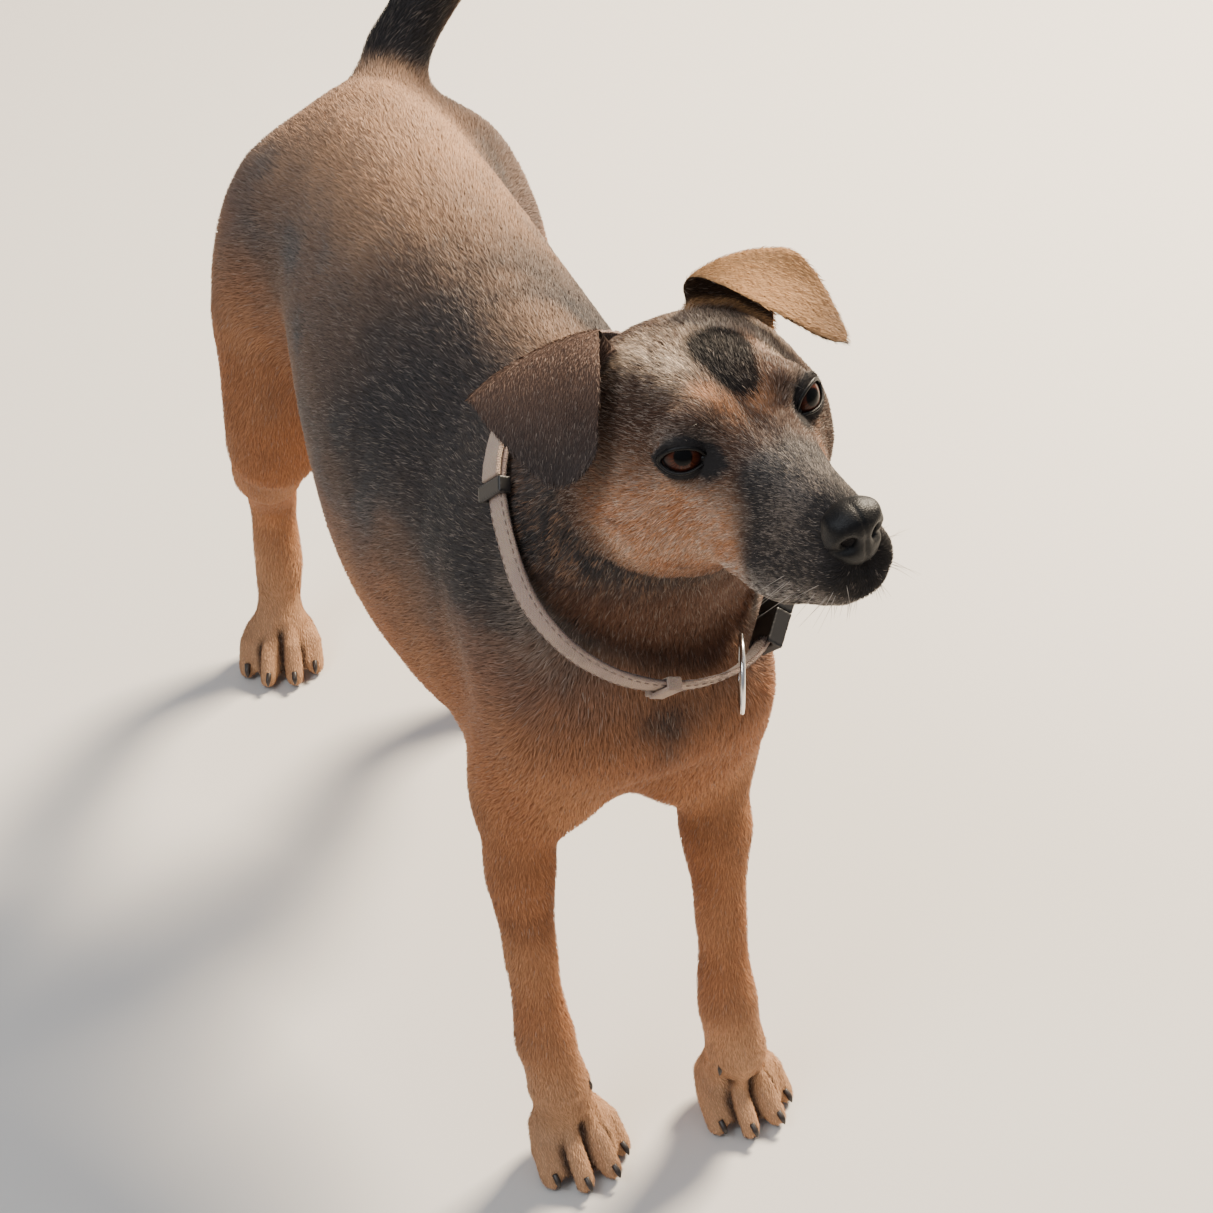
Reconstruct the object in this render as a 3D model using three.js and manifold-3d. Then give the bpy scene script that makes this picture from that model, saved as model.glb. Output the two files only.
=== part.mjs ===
// A short-coated dog of middle size, standing and looking a little to its left, with a flat collar.
// Millimetres, +Z up. The dog faces -Y, its left side is +X, and the floor is Z = 0.
import * as THREE from "three";
import { mergeVertices } from "three/addons/utils/BufferGeometryUtils.js";
import Module from "manifold-3d";

const wasm = await Module();
wasm.setup();

const V = (x, y, z) => new THREE.Vector3(x, y, z);
const { clamp, lerp, degToRad } = THREE.MathUtils;

// ---------------------------------------------------------------- driving dimensions

const GAP = 0.3; // left between neighbouring solids
const WITHERS = 438; // height of the back above the shoulders
const MIDDLE = [36.84, -32.43]; // the middle of the footprint, which is moved to the origin at the end

// The trunk's outline, front to back: y, centre, top, bottom, half width, height of the widest point.
const TRUNK = [
  { y: -232, x: 0, top: 338, low: 300, half: 27, mid: 320 },
  { y: -215, x: 0, top: 372, low: 270, half: 42, mid: 314 },
  { y: -185, x: -2, top: 408, low: 245, half: 51, mid: 312 },
  { y: -140, x: -4, top: WITHERS, low: 218, half: 62, mid: 304 },
  { y: -80, x: -8, top: WITHERS - 4, low: 203, half: 77, mid: 300 },
  { y: -10, x: -12, top: WITHERS - 10, low: 206, half: 83, mid: 304 },
  { y: 60, x: -14, top: WITHERS - 8, low: 226, half: 77, mid: 318 },
  { y: 120, x: -15, top: WITHERS - 4, low: 250, half: 68, mid: 334 },
  { y: 175, x: -15, top: WITHERS - 10, low: 274, half: 61, mid: 346 },
  { y: 215, x: -11, top: 416, low: 292, half: 53, mid: 350 },
  { y: 240, x: -6, top: 398, low: 310, half: 40, mid: 350 },
  { y: 254, x: -2, top: 376, low: 332, half: 24, mid: 350 },
];

// Each leg's joints, from the body down, as [x, y, z, radius]. A paw is [x, y, heading in degrees].
const FORE = {
  right: {
    side: -1,
    blade: [-34, -128, 372, 25],
    shoulder: [-37, -190, 300, 26],
    elbow: [-47, -156, 232, 20],
    forearm: [-48, -163, 185, 16],
    shin: [-46, -169, 132, 12.5],
    wrist: [-43, -176, 88, 14.5],
    pastern: [-36, -176, 48, 14.5],
    paw: [-31, -172, 14],
  },
  left: {
    side: 1,
    blade: [34, -128, 372, 25],
    shoulder: [38, -189.6, 299, 25.4],
    elbow: [48, -157, 232, 20.5],
    forearm: [50, -165, 185, 16.5],
    shin: [50, -173, 132, 12],
    wrist: [51, -180, 88, 14.5],
    pastern: [57, -179, 48, 14.5],
    paw: [60, -165, 14],
  },
};
const HIND = {
  right: {
    side: -1,
    hip: [-52, 200, 350, 42],
    thigh: [-70, 188, 290, 37],
    stifle: [-84, 165, 236, 25],
    calf: [-79, 224, 178, 19],
    hock: [-66, 287, 114, 14],
    shank: [-66, 285, 66, 13.5],
    paw: [-71, 277, -14],
  },
  left: {
    side: 1,
    hip: [28, 200, 350, 42],
    thigh: [42, 170, 290, 37],
    stifle: [52, 130, 236, 25],
    calf: [52, 170, 174, 19],
    hock: [49, 211, 112, 14],
    shank: [48, 203, 64, 13.5],
    paw: [47, 192, 4],
  },
};
const NECK = [
  [-2, -150, 352, 52],
  [-2, -170, 380, 49.5],
  [0, -203, 413, 46.5],
  [6, -234, 448, 42.5],
];
const TAIL = [
  [1, 224, 380, 19],
  [17, 246, 413, 17.5],
  [46, 258, 446, 16.5],
  [83, 262, 473, 15],
  [120, 254, 491, 13],
  [150, 238, 500, 11],
  [170, 220, 503, 8],
  [180.8, 207, 503.5, 3.8],
];

// A paw seen from above: each toe's root, knuckle and tip as [out, forward, up, radius].
const TOES = {
  inner: [[5.4, -2, 27, 8.6], [7.4, 13, 20.5, 7.6], [8.2, 27.5, 6.3, 7.1]],
  outer: [[12, -5, 24, 8.6], [17.4, 6, 18, 7.4], [20.4, 17, 6, 6.8]],
};
const PALM = { lump: [[0, 3, 19], [17, 15, 13.5]], pad: [[0, 1, 7], [16, 12, 8]] };
const CLAW = { radius: 2.6, long: 10.2, hidden: 4.2, curl: 2 };
const DEWCLAW = { up: 62, out: 10.4, back: 2 };

// The head has a frame of its own: its origin is between the eyes and it faces -Y until it is turned.
const HEAD = { origin: V(14.7, -286.5, 497.7), yaw: 8.3, pitch: 14.9, roll: 10 };
const EYE = { radius: 10.6, apart: 25.5, back: 8, aim: 20, open: [12.5, 5.6] };
const SKULL = [
  { y: 98, x: 0, top: 10, low: -26, half: 26, mid: -6 },
  { y: 84, x: 0, top: 24, low: -46, half: 40, mid: -10 },
  { y: 62, x: 0, top: 30, low: -56, half: 49, mid: -14 },
  { y: 36, x: 0, top: 29, low: -59, half: 47, mid: -18 },
  { y: 14, x: 0, top: 22, low: -60, half: 36, mid: -20 },
  { y: 0, x: 0, top: 14, low: -62, half: 29.5, mid: -23 },
  { y: -14, x: 0, top: 5, low: -65, half: 23.5, mid: -29 },
  { y: -30, x: 0, top: -1, low: -65, half: 20, mid: -35 },
  { y: -48, x: 0, top: -6, low: -62.5, half: 16.8, mid: -36 },
  { y: -62, x: 0, top: -9, low: -56, half: 13.5, mid: -35 },
  { y: -72, x: 0, top: -13, low: -49, half: 10, mid: -33 },
];
const NOSE = [
  [[0, -71, -18], [13.2, 10, 8.6]],
  [[0, -67, -28], [11, 9.6, 9.6]],
];
const NOSTRIL = { apart: 7, size: [2.4, 5, 3.2] };

// Each ear is a folded sheet hung on three ribs, inner to outer, each from the skull to the flap's edge.
const EAR = { thick: 4.2, edge: 1.5, columns: 5, rows: 10 };
const RIBS = {
  right: [
    [[-15, 52, 18], [-20, 58, 30], [-22, 60, 38], [-26, 53, 40], [-38, 34, 30], [-52, 25, 6]],
    [[-34, 70, 4], [-44, 68, 26], [-53, 64, 39], [-55, 57, 40], [-60, 42, 24], [-66, 28, -3]],
    [[-46, 62, -8], [-68, 66, 18], [-84, 66, 33], [-85, 60, 34], [-83, 48, 20], [-76, 33, 3]],
  ],
  left: [
    [[14, 62, 20], [16, 66, 32], [17, 64, 40], [21, 57, 42], [30, 32, 34], [50, 26, 9]],
    [[34, 70, 4], [36, 68, 28], [38, 60, 42], [43, 54, 43], [52, 40, 27], [61, 24, 2]],
    [[46, 60, -8], [54, 62, 18], [60, 54, 36], [63, 48, 38], [67, 42, 24], [66, 31, 6]],
  ],
};

// The collar hangs in one plane round the base of the neck. Places on it are angles in degrees from
// the dog's left, and 90 is the nape. Its loop is [angle, radius] to the middle of the strap, which
// rests on the nape and hangs clear of the throat. Sizes are [along the strap, across it, through it].
const COLLAR = { at: V(2.8, -185.3, 395.9), facing: V(0.316, -0.653, 0.688), segments: 44, wide: 13, thick: 3 };
const LOOP = [
  [-177, 66.6], [-154, 71], [-132, 74.2], [-110, 76.4], [-89, 78.6], [-70, 81.8], [-59, 82.6],
  [-48, 80], [-24, 75.5], [0, 71], [30, 71], [60, 74], [90, 79.5], [120, 72.5], [150, 67.4], [168, 67.2],
];
const SLIDE = { at: 166, size: [7, 19, 6] };
const FOLD = { at: 148, long: 34, thick: 2.4 };
const KEEPER = { at: -95, size: [7, 17, 6.2], tab: [6, 5, 3] };
const RING = { at: -66, radius: 16.6, wire: 1.2, facing: V(0.948, -0.319, 0), shift: [-1.7, -5.0, 0.9] };
const BUCKLE = { at: -45, socket: 17, plug: 11, wide: 16.4, thick: 8, out: 1 };

// Where the body is parted: a point on each cut, and the way the part beyond it lies.
const PARTINGS = {
  head: { at: [10, -225, 444], facing: [0, -0.544, 0.839], wide: 200, deep: 180 },
  neck: { at: COLLAR.at.toArray(), facing: COLLAR.facing.toArray(), wide: 230, deep: 230 },
  tail: { at: [12, 240, 404], facing: [16, 22, 33], wide: 70, deep: 70 },
  front_leg_right: { at: [-52, -158, 231], facing: [-0.6, 0, -0.8], wide: 90, deep: 110 },
  front_leg_left: { at: [50, -158, 231], facing: [0.6, 0, -0.8], wide: 90, deep: 110 },
  hind_leg_right: { at: [-72, 208, 312], facing: [-0.8, 0.5, -1], wide: 166, deep: 200 },
  hind_leg_left: { at: [48, 186, 301], facing: [0.8, 0.5, -1], wide: 166, deep: 240 },
};

// ---------------------------------------------------------------- implicit shapes

// Two shapes joined with a fillet of about k.
function blend(a, b, k) {
  const h = clamp(0.5 + (0.5 * (b - a)) / k, 0, 1);
  return lerp(b, a, h) - k * h * (1 - h);
}

// A limb that tapers from one [x, y, z, radius] to another.
function limb([ax, ay, az, ar], [bx, by, bz, br]) {
  const [dx, dy, dz] = [bx - ax, by - ay, bz - az];
  const square = dx * dx + dy * dy + dz * dz;
  return (p) => {
    const t = clamp(((p.x - ax) * dx + (p.y - ay) * dy + (p.z - az) * dz) / square, 0, 1);
    return Math.hypot(p.x - ax - t * dx, p.y - ay - t * dy, p.z - az - t * dz) - lerp(ar, br, t);
  };
}

// An ellipsoid with three half axes, turned by Euler angles in degrees.
function lump(at, [rx, ry, rz], turn = [0, 0, 0]) {
  const turned = new THREE.Quaternion().setFromEuler(new THREE.Euler(...turn.map(degToRad)));
  const inward = new THREE.Matrix4().compose(V(...at), turned, V(1, 1, 1)).invert();
  const q = V(0, 0, 0);
  return (p) => {
    q.copy(p).applyMatrix4(inward);
    const near = Math.hypot(q.x / rx, q.y / ry, q.z / rz);
    const slope = Math.hypot(q.x / (rx * rx), q.y / (ry * ry), q.z / (rz * rz));
    return slope > 0 ? (near * (near - 1)) / slope : -Math.min(rx, ry, rz);
  };
}

// One column of a table of stations, read smoothly at y.
function read(table, key, y) {
  const order = Math.sign(table[1].y - table[0].y);
  let i = 0;
  while (i < table.length - 2 && order * (y - table[i + 1].y) > 0) i += 1;
  const slope = (j) => {
    const [a, b] = [table[Math.max(0, j - 1)], table[Math.min(table.length - 1, j + 1)]];
    return (b[key] - a[key]) / (b.y - a.y);
  };
  const span = table[i + 1].y - table[i].y;
  const t = clamp((y - table[i].y) / span, 0, 1);
  const ease = t * t * (3 - 2 * t);
  const swing = span * t * (1 - t) * ((1 - t) * slope(i) - t * slope(i + 1));
  return lerp(table[i][key], table[i + 1][key], ease) + swing;
}

// A body whose cross-sections follow a table of stations. It can be narrowed towards its top.
function hull(table, power, narrow = 0) {
  const low = Math.min(table[0].y, table[table.length - 1].y);
  const high = Math.max(table[0].y, table[table.length - 1].y);
  return (p) => {
    const y = clamp(p.y, low, high);
    const mid = read(table, "mid", y);
    const up = p.z > mid;
    const tall = Math.max(4, up ? read(table, "top", y) - mid : mid - read(table, "low", y));
    const rise = Math.abs(p.z - mid) / tall;
    const half = Math.max(4, read(table, "half", y) * (up ? 1 - narrow * Math.min(1, rise) ** 2 : 1));
    const out = Math.abs(p.x - read(table, "x", y)) / half;
    const deep = (Math.pow(out ** power + rise ** power, 1 / power) - 1) * Math.min(half, tall);
    const beyond = Math.abs(p.y - y);
    return beyond > 0 ? Math.hypot(Math.max(0, deep), beyond) : deep;
  };
}

// Shapes joined in turn, each with its own fillet: [shape, k], [shape, k], ...
function joined(first, ...others) {
  return (p) => others.reduce((found, [next, k]) => blend(found, next(p), k), first(p));
}

const between = (a, b, t) => a.map((v, i) => lerp(v, b[i], t));
const shifted = ([x, y, z], [dx, dy, dz], r) => [x + dx, y + dy, z + dz, r];

// ---------------------------------------------------------------- the body's field

const dewclaw = ({ side, pastern: [x, y] }) => [x - side * DEWCLAW.out, y + DEWCLAW.back, DEWCLAW.up];

function foreleg(j) {
  const { side, elbow, forearm, shin, wrist, pastern, shoulder } = j;
  const point = shifted(elbow, [2 * side, 20, 6], 12);
  return joined(
    limb(between(elbow, shoulder, 0.45), elbow),
    [limb(elbow, forearm), 10],
    [limb(forearm, shin), 10],
    [limb(shin, wrist), 8],
    [limb(wrist, pastern), 8],
    [limb(elbow, point), 14],
    [limb(point, shifted(forearm, [0, 7, -22], 11)), 10],
    [limb(shifted(wrist, [0, 7, 4], 10), shifted(pastern, [0, 8, 6], 10)), 8],
    [lump(dewclaw(j), [6, 7.5, 9]), 5],
    [limb(pastern, [...pawFrame(j)([0, -1, 26]), 13]), 8],
    [palm(j), 10],
  );
}

function hindleg(j) {
  const { hip, thigh, stifle, calf, hock, shank } = j;
  const heel = shifted(hock, [0, 10, 7], 9);
  return joined(
    limb(between(thigh, hip, 0.5), thigh),
    [limb(thigh, stifle), 12],
    [lump([thigh[0] * 0.97, thigh[1] + 14, thigh[2] - 8], [22, 44, 54], [18, 0, 0]), 22],
    [limb(stifle, calf), 18],
    [limb(calf, hock), 14],
    [limb(shifted(calf, [0, 14, 20], 14), heel), 10],
    [limb(hock, shank), 8],
    [limb(heel, shifted(shank, [0, 3, 0], 11.5)), 8],
    [limb(shank, [...pawFrame(j)([0, -3, 26]), 13.5]), 8],
    [palm(j), 10],
  );
}

// From a paw's own frame (out, forward, up) to the body's.
function pawFrame({ side, paw: [x, y, heading] }) {
  const turn = new THREE.Matrix4().makeRotationZ(degToRad(heading));
  const basis = new THREE.Matrix4().makeBasis(V(side, 0, 0), V(0, -1, 0), V(0, 0, 1));
  const frame = turn.multiply(basis).setPosition(x, y, 0);
  return ([out, forward, up, ...radius]) => [...V(out, forward, up).applyMatrix4(frame).toArray(), ...radius];
}

function palm(j) {
  const place = pawFrame(j);
  return joined(
    lump(place(PALM.lump[0]), PALM.lump[1], [0, 0, j.paw[2]]),
    [lump(place(PALM.pad[0]), PALM.pad[1], [0, 0, j.paw[2]]), 6],
    [limb([...place([0, -3, 30]), 13], [...place([0, 7, 22]), 12]), 10],
  );
}

const trunkField = joined(
  hull(TRUNK, 2.1, 0.22),
  ...Object.values(FORE).flatMap(({ side, blade, shoulder, elbow }) => [
    [limb(blade, shoulder), 26],
    [limb(shoulder, between(shoulder, elbow, 0.55)), 24],
    [lump([side * 38, -150, 302], [18, 40, 56], [12, 0, 0]), 20],
    [lump([side * 24 - 3, -170, 242], [17, 24, 26]), 16],
  ]),
  ...Object.values(HIND).flatMap(({ hip, thigh }) => [
    [limb(hip, between(hip, thigh, 0.35)), 30],
    [lump([hip[0] * 0.9, 224, 320], [24, 26, 46]), 26],
  ]),
  [limb(NECK[0], NECK[1]), 40],
);
const legs = {
  front_leg_right: foreleg(FORE.right),
  front_leg_left: foreleg(FORE.left),
  hind_leg_right: hindleg(HIND.right),
  hind_leg_left: hindleg(HIND.left),
};
const chain = (points, k) => joined(...points.slice(1).map((end, i) => (i ? [limb(points[i], end), k] : limb(points[0], end))));
const neckField = chain(NECK, 30);
const tailField = chain(TAIL, 8);

const headTurn = new THREE.Matrix4().compose(
  HEAD.origin,
  new THREE.Quaternion().setFromEuler(
    new THREE.Euler(degToRad(-HEAD.pitch), degToRad(-HEAD.roll), degToRad(HEAD.yaw), "ZXY"),
  ),
  V(1, 1, 1),
);
const headInward = headTurn.clone().invert();
const inHead = V(0, 0, 0);
const onHead = (field) => (p) => field(inHead.copy(p).applyMatrix4(headInward));
const headField = onHead(
  joined(
    hull(SKULL, 2.5),
    ...[-1, 1].flatMap((s) => [
      [lump([s * 36, 45, -24], [14, 26, 22]), 14],
      [lump([s * 20, 6, 12], [10, 12, 8], [0, 0, s * -20]), 10],
      [lump([s * 9, -48, -38], [7.5, 24, 12], [0, 0, s * 8]), 6],
      [lump([s * 12, -12, -50], [11, 26, 15], [0, 0, s * 12]), 8],
      [lump([s * EYE.apart, EYE.back - 1, 0], [11.4, 12.6, 11.4]), 6],
    ]),
  ),
);
const noseShape = joined(lump(...NOSE[0]), [lump(...NOSE[1]), 6]);
const noseField = onHead(noseShape);

function bodyField(p) {
  let found = blend(trunkField(p), neckField(p), 30);
  for (const leg of Object.values(legs)) found = blend(found, leg(p), 20);
  found = blend(found, tailField(p), 14);
  return blend(found, headField(p), 20);
}

// ---------------------------------------------------------------- solids

function closed(vertices, index) {
  const geometry = new THREE.BufferGeometry();
  geometry.setAttribute("position", new THREE.Float32BufferAttribute(vertices, 3));
  geometry.setIndex(index);
  return geometry;
}

function solid(geometry) {
  const bare = geometry.clone();
  bare.deleteAttribute("normal");
  bare.deleteAttribute("uv");
  const merged = mergeVertices(bare, 1e-3);
  const vertProperties = merged.attributes.position.array;
  return new wasm.Manifold(new wasm.Mesh({ numProp: 3, vertProperties, triVerts: new Uint32Array(merged.index.array) }));
}

function corners(manifold) {
  const mesh = manifold.getMesh();
  const points = Array.from({ length: mesh.numVert }, (_, i) => V(0, 0, 0).fromArray(mesh.vertProperties, i * mesh.numProp));
  return { points, index: Array.from(mesh.triVerts) };
}

const shape = ({ points, index }) => closed(points.flatMap((p) => p.toArray()), index);
const joinAll = (parts) => parts.reduce((all, part) => all.add(part));

// How far a ray goes from inside a field to its surface.
function reach(field, from, way, most) {
  const p = V(0, 0, 0);
  const inside = (t) => field(p.copy(way).multiplyScalar(t).add(from)) < 0;
  let far = 2;
  while (far < most && inside(far)) far += 2;
  let near = far - 2;
  for (let i = 0; i < 10; i += 1) {
    const half = (near + far) / 2;
    if (inside(half)) near = half;
    else far = half;
  }
  return near;
}

// A closed tube round a curved axis. Its rings lie on the field's surface, and its ends are rounded.
function tube(field, axisPoints, { sides, rings, ends = 2, most = 120 }) {
  const axis = new THREE.CatmullRomCurve3(axisPoints.map(([x, y, z]) => V(x, y, z)), false, "centripetal");
  const last = rings + 2 * ends;
  const vertices = [];
  const push = (from, way) => vertices.push(...way.clone().multiplyScalar(reach(field, from, way, most)).add(from).toArray());
  for (let i = 0; i <= last; i += 1) {
    const t = clamp((i - ends) / rings, 0, 1);
    const lean = ((Math.max(0, i - ends - rings) - Math.max(0, ends - i)) / (ends + 1)) * (Math.PI / 2);
    const at = axis.getPointAt(t);
    const forward = axis.getTangentAt(t);
    const across = V(1, 0, 0).addScaledVector(forward, -forward.x).normalize();
    const up = forward.clone().cross(across);
    for (let k = 0; k < sides; k += 1) {
      const turn = (2 * Math.PI * k) / sides;
      const round = across.clone().multiplyScalar(Math.cos(turn)).addScaledVector(up, Math.sin(turn));
      push(at, round.multiplyScalar(Math.cos(lean)).addScaledVector(forward, Math.sin(lean)));
    }
  }
  push(axis.getPointAt(0), axis.getTangentAt(0).negate());
  push(axis.getPointAt(1), axis.getTangentAt(1));
  const index = [];
  const poles = (last + 1) * sides;
  for (let k = 0; k < sides; k += 1) {
    const next = (k + 1) % sides;
    for (let i = 0; i < last; i += 1) {
      const [a, b] = [i * sides + k, i * sides + next];
      index.push(a, b, b + sides, a, b + sides, a + sides);
    }
    index.push(poles, next, k, poles + 1, poles - sides + k, poles - sides + next);
  }
  return solid(closed(vertices, index));
}

// ---------------------------------------------------------------- even triangles

// Draws a point onto a field's surface.
function settle(point, field, steps) {
  const probe = V(0, 0, 0);
  const slope = V(0, 0, 0);
  const step = 0.5;
  for (let i = 0; i < steps; i += 1) {
    const here = field(point);
    for (const axis of ["x", "y", "z"]) {
      probe.copy(point)[axis] += step;
      slope[axis] = (field(probe) - here) / step;
    }
    point.addScaledVector(slope, -here / Math.max(0.2, slope.lengthSq()));
  }
}

const key = (a, b) => (a < b ? a * 65536 + b : b * 65536 + a);

// Every edge with the corners that face it across its two triangles.
function edgesOf(index) {
  const edges = new Map();
  for (let i = 0; i < index.length; i += 3)
    for (let k = 0; k < 3; k += 1) {
      const [a, b, c] = [index[i + k], index[i + ((k + 1) % 3)], index[i + ((k + 2) % 3)]];
      const edge = edges.get(key(a, b)) ?? { ends: [a, b], across: [], triangles: [] };
      edge.across.push(c);
      edge.triangles.push(i);
      edges.set(key(a, b), edge);
    }
  return edges;
}

// Halves each edge that is much longer than the size wanted there.
function split({ points, index }, size) {
  const middles = new Map();
  for (const [name, { ends }] of edgesOf(index)) {
    const middle = points[ends[0]].clone().lerp(points[ends[1]], 0.5);
    if (points[ends[0]].distanceTo(points[ends[1]]) > 1.35 * size(middle)) middles.set(name, points.push(middle) - 1);
  }
  const next = [];
  for (let i = 0; i < index.length; i += 3) {
    let turn = [index[i], index[i + 1], index[i + 2]];
    const halves = () => turn.map((v, k) => middles.get(key(v, turn[(k + 1) % 3])));
    const count = halves().filter((v) => v !== undefined).length;
    const ready = ([ab, bc]) => count === 0 || count === 3 || (ab !== undefined && (count === 1 || bc !== undefined));
    while (!ready(halves())) turn = [turn[1], turn[2], turn[0]];
    const [a, b, c] = turn;
    const [ab, bc, ca] = halves();
    if (count === 0) next.push(a, b, c);
    if (count === 1) next.push(a, ab, c, ab, b, c);
    if (count === 2) next.push(ab, b, bc, a, ab, c, ab, bc, c);
    if (count === 3) next.push(a, ab, ca, ab, b, bc, ca, bc, c, ab, bc, ca);
  }
  return { points, index: next };
}

function neighboursOf(points, index) {
  const near = points.map(() => new Set());
  for (let i = 0; i < index.length; i += 3)
    for (let k = 0; k < 3; k += 1) near[index[i + k]].add(index[i + ((k + 1) % 3)]).add(index[i + ((k + 2) % 3)]);
  return near;
}

// Closes up each edge that is much shorter than the size wanted there.
function collapse({ points, index }, size) {
  const near = neighboursOf(points, index);
  const busy = new Set();
  const moved = new Map();
  const length = ({ ends: [a, b] }) => points[a].distanceTo(points[b]);
  for (const edge of [...edgesOf(index).values()].sort((p, q) => length(p) - length(q))) {
    const [a, b] = edge.ends;
    const middle = points[a].clone().lerp(points[b], 0.5);
    const shared = [...near[a]].filter((v) => near[b].has(v));
    if (length(edge) > 0.72 * size(middle) || shared.length !== 2) continue;
    const ring = [a, b, ...near[a], ...near[b]];
    if (ring.some((v) => busy.has(v)) || shared.some((v) => near[v].size < 5)) continue;
    if (ring.some((v) => v !== a && v !== b && points[v].distanceTo(middle) > 1.5 * size(middle))) continue;
    for (const v of ring) busy.add(v);
    points[a].copy(middle);
    moved.set(b, a);
  }
  const next = [];
  for (let i = 0; i < index.length; i += 3) {
    const [a, b, c] = index.slice(i, i + 3).map((v) => moved.get(v) ?? v);
    if (a !== b && b !== c && c !== a) next.push(a, b, c);
  }
  return { points, index: next };
}

// Turns each edge whose turning brings the corners nearer to six edges each.
function flip({ points, index }) {
  const near = neighboursOf(points, index);
  const next = index.slice();
  const busy = new Set();
  const facing = (a, b, c) => points[b].clone().sub(points[a]).cross(points[c].clone().sub(points[a]));
  for (const { ends: [a, b], across: [c, d], triangles } of edgesOf(index).values()) {
    if ([a, b, c, d].some((v) => busy.has(v)) || near[c].has(d)) continue;
    const miss = (shift) => Math.abs(near[a].size - shift - 6) + Math.abs(near[b].size - shift - 6)
      + Math.abs(near[c].size + shift - 6) + Math.abs(near[d].size + shift - 6);
    const before = facing(a, b, c);
    const fair = before.dot(facing(d, b, c)) > 0 && before.dot(facing(a, d, c)) > 0 && before.dot(facing(b, a, d)) > 0;
    if (!fair || miss(1) >= miss(0)) continue;
    for (const v of [a, b, c, d]) busy.add(v);
    next.splice(triangles[0], 3, a, d, c);
    next.splice(triangles[1], 3, d, b, c);
  }
  return { points, index: next };
}

// Slides each corner towards the middle of its neighbours, keeping it on the field's surface.
function relax({ points, index }, field) {
  const near = neighboursOf(points, index);
  const out = outward({ points, index });
  const goals = points.map((point, i) => {
    if (!near[i].size) return point;
    const pull = [...near[i]].reduce((sum, v) => sum.add(points[v]), V(0, 0, 0)).divideScalar(near[i].size).sub(point);
    return pull.addScaledVector(out[i], -pull.dot(out[i])).multiplyScalar(0.6).add(point);
  });
  points.forEach((point, i) => point.copy(goals[i]));
  for (const point of points) settle(point, field, 1);
  return { points, index };
}

// A solid re-cut into even triangles of the size wanted at each place, lying on a field's surface.
function evened(manifold, field, size, rounds) {
  let mesh = corners(manifold);
  for (const point of mesh.points) settle(point, field, 3);
  for (let i = 0; i < rounds; i += 1) mesh = relax(flip(collapse(split(mesh, size), size)), field);
  for (const point of mesh.points) settle(point, field, 2);
  return solid(shape(mesh));
}

// The outward direction at every corner.
function outward({ points, index }) {
  const out = points.map(() => V(0, 0, 0));
  for (let i = 0; i < index.length; i += 3) {
    const [a, b, c] = [points[index[i]], points[index[i + 1]], points[index[i + 2]]];
    const facing = b.clone().sub(a).cross(c.clone().sub(a));
    for (let k = 0; k < 3; k += 1) out[index[i + k]].add(facing);
  }
  return out.map((v) => v.normalize());
}

// A solid grown outwards by a small distance.
function grown(manifold, by) {
  const mesh = corners(manifold);
  const out = outward(mesh);
  return solid(shape({ points: mesh.points.map((p, i) => p.addScaledVector(out[i], by)), index: mesh.index }));
}

// A square block facing a direction: its near face is half a gap beyond a point. A slab is as thick as the gap.
function block({ at, facing, wide, deep }, thick = GAP) {
  const box = new THREE.BoxGeometry(wide, deep, thick).translate(0, 0, (thick - GAP) / 2);
  return solid(box.applyMatrix4(facingFrame(V(...facing)).setPosition(...at)));
}

// A frame whose z axis faces a direction and whose x axis is as level as it can be.
function facingFrame(facing) {
  const forward = facing.clone().normalize();
  const across = V(1, 0, 0).addScaledVector(forward, -forward.x).normalize();
  return new THREE.Matrix4().makeBasis(across, forward.clone().cross(across), forward);
}

const biggest = (manifold) => manifold.decompose().sort((p, q) => q.volume() - p.volume())[0];

// ---------------------------------------------------------------- the flesh, whole, then parted

const headPoint = (x, y, z) => V(x, y, z).applyMatrix4(headTurn).toArray();
const headAxis = [headPoint(0, 74, -8), headPoint(0, 36, -14), headPoint(0, 0, -24), headPoint(0, -30, -30), headPoint(0, -58, -31)];
const trunkAxis = [[-1, -200, 328], [-4, -140, 322], [-12, 0, 318], [-15, 120, 340], [-8, 222, 354]];
const legAxis = {
  front_leg_right: foreAxis(FORE.right),
  front_leg_left: foreAxis(FORE.left),
  hind_leg_right: hindAxis(HIND.right),
  hind_leg_left: hindAxis(HIND.left),
};
function foreAxis(j) {
  return [between(j.elbow, j.shoulder, 0.3), j.elbow, j.forearm, j.shin, j.wrist, j.pastern, pawFrame(j)([0, -2, 20])];
}
function hindAxis(j) {
  return [between(j.thigh, j.hip, 0.4), j.thigh, j.stifle, j.calf, j.hock, j.shank, pawFrame(j)([0, -2, 20])];
}

const rough = joinAll([
  tube(trunkField, trunkAxis, { sides: 22, rings: 18, ends: 3 }),
  tube(neckField, NECK, { sides: 18, rings: 5 }),
  tube(headField, headAxis, { sides: 24, rings: 22, ends: 3 }),
  tube(tailField, TAIL, { sides: 10, rings: 12 }),
  ...Object.entries(legs).map(([name, leg]) => tube(leg, legAxis[name], { sides: 12, rings: 16 })),
]);

// How long an edge should be at a place on the body.
function fineness(p) {
  const face = clamp((50 - inHead.copy(p).applyMatrix4(headInward).y) / 80, 0, 1);
  const away = headField(p);
  const near = away < 4 ? 18.4 - 7.4 * face : lerp(19, 26, clamp(away / 40, 0, 1));
  return Math.min(near, p.z < 200 ? 24 : 42, tailField(p) < 4 ? 18 : 42);
}

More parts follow.
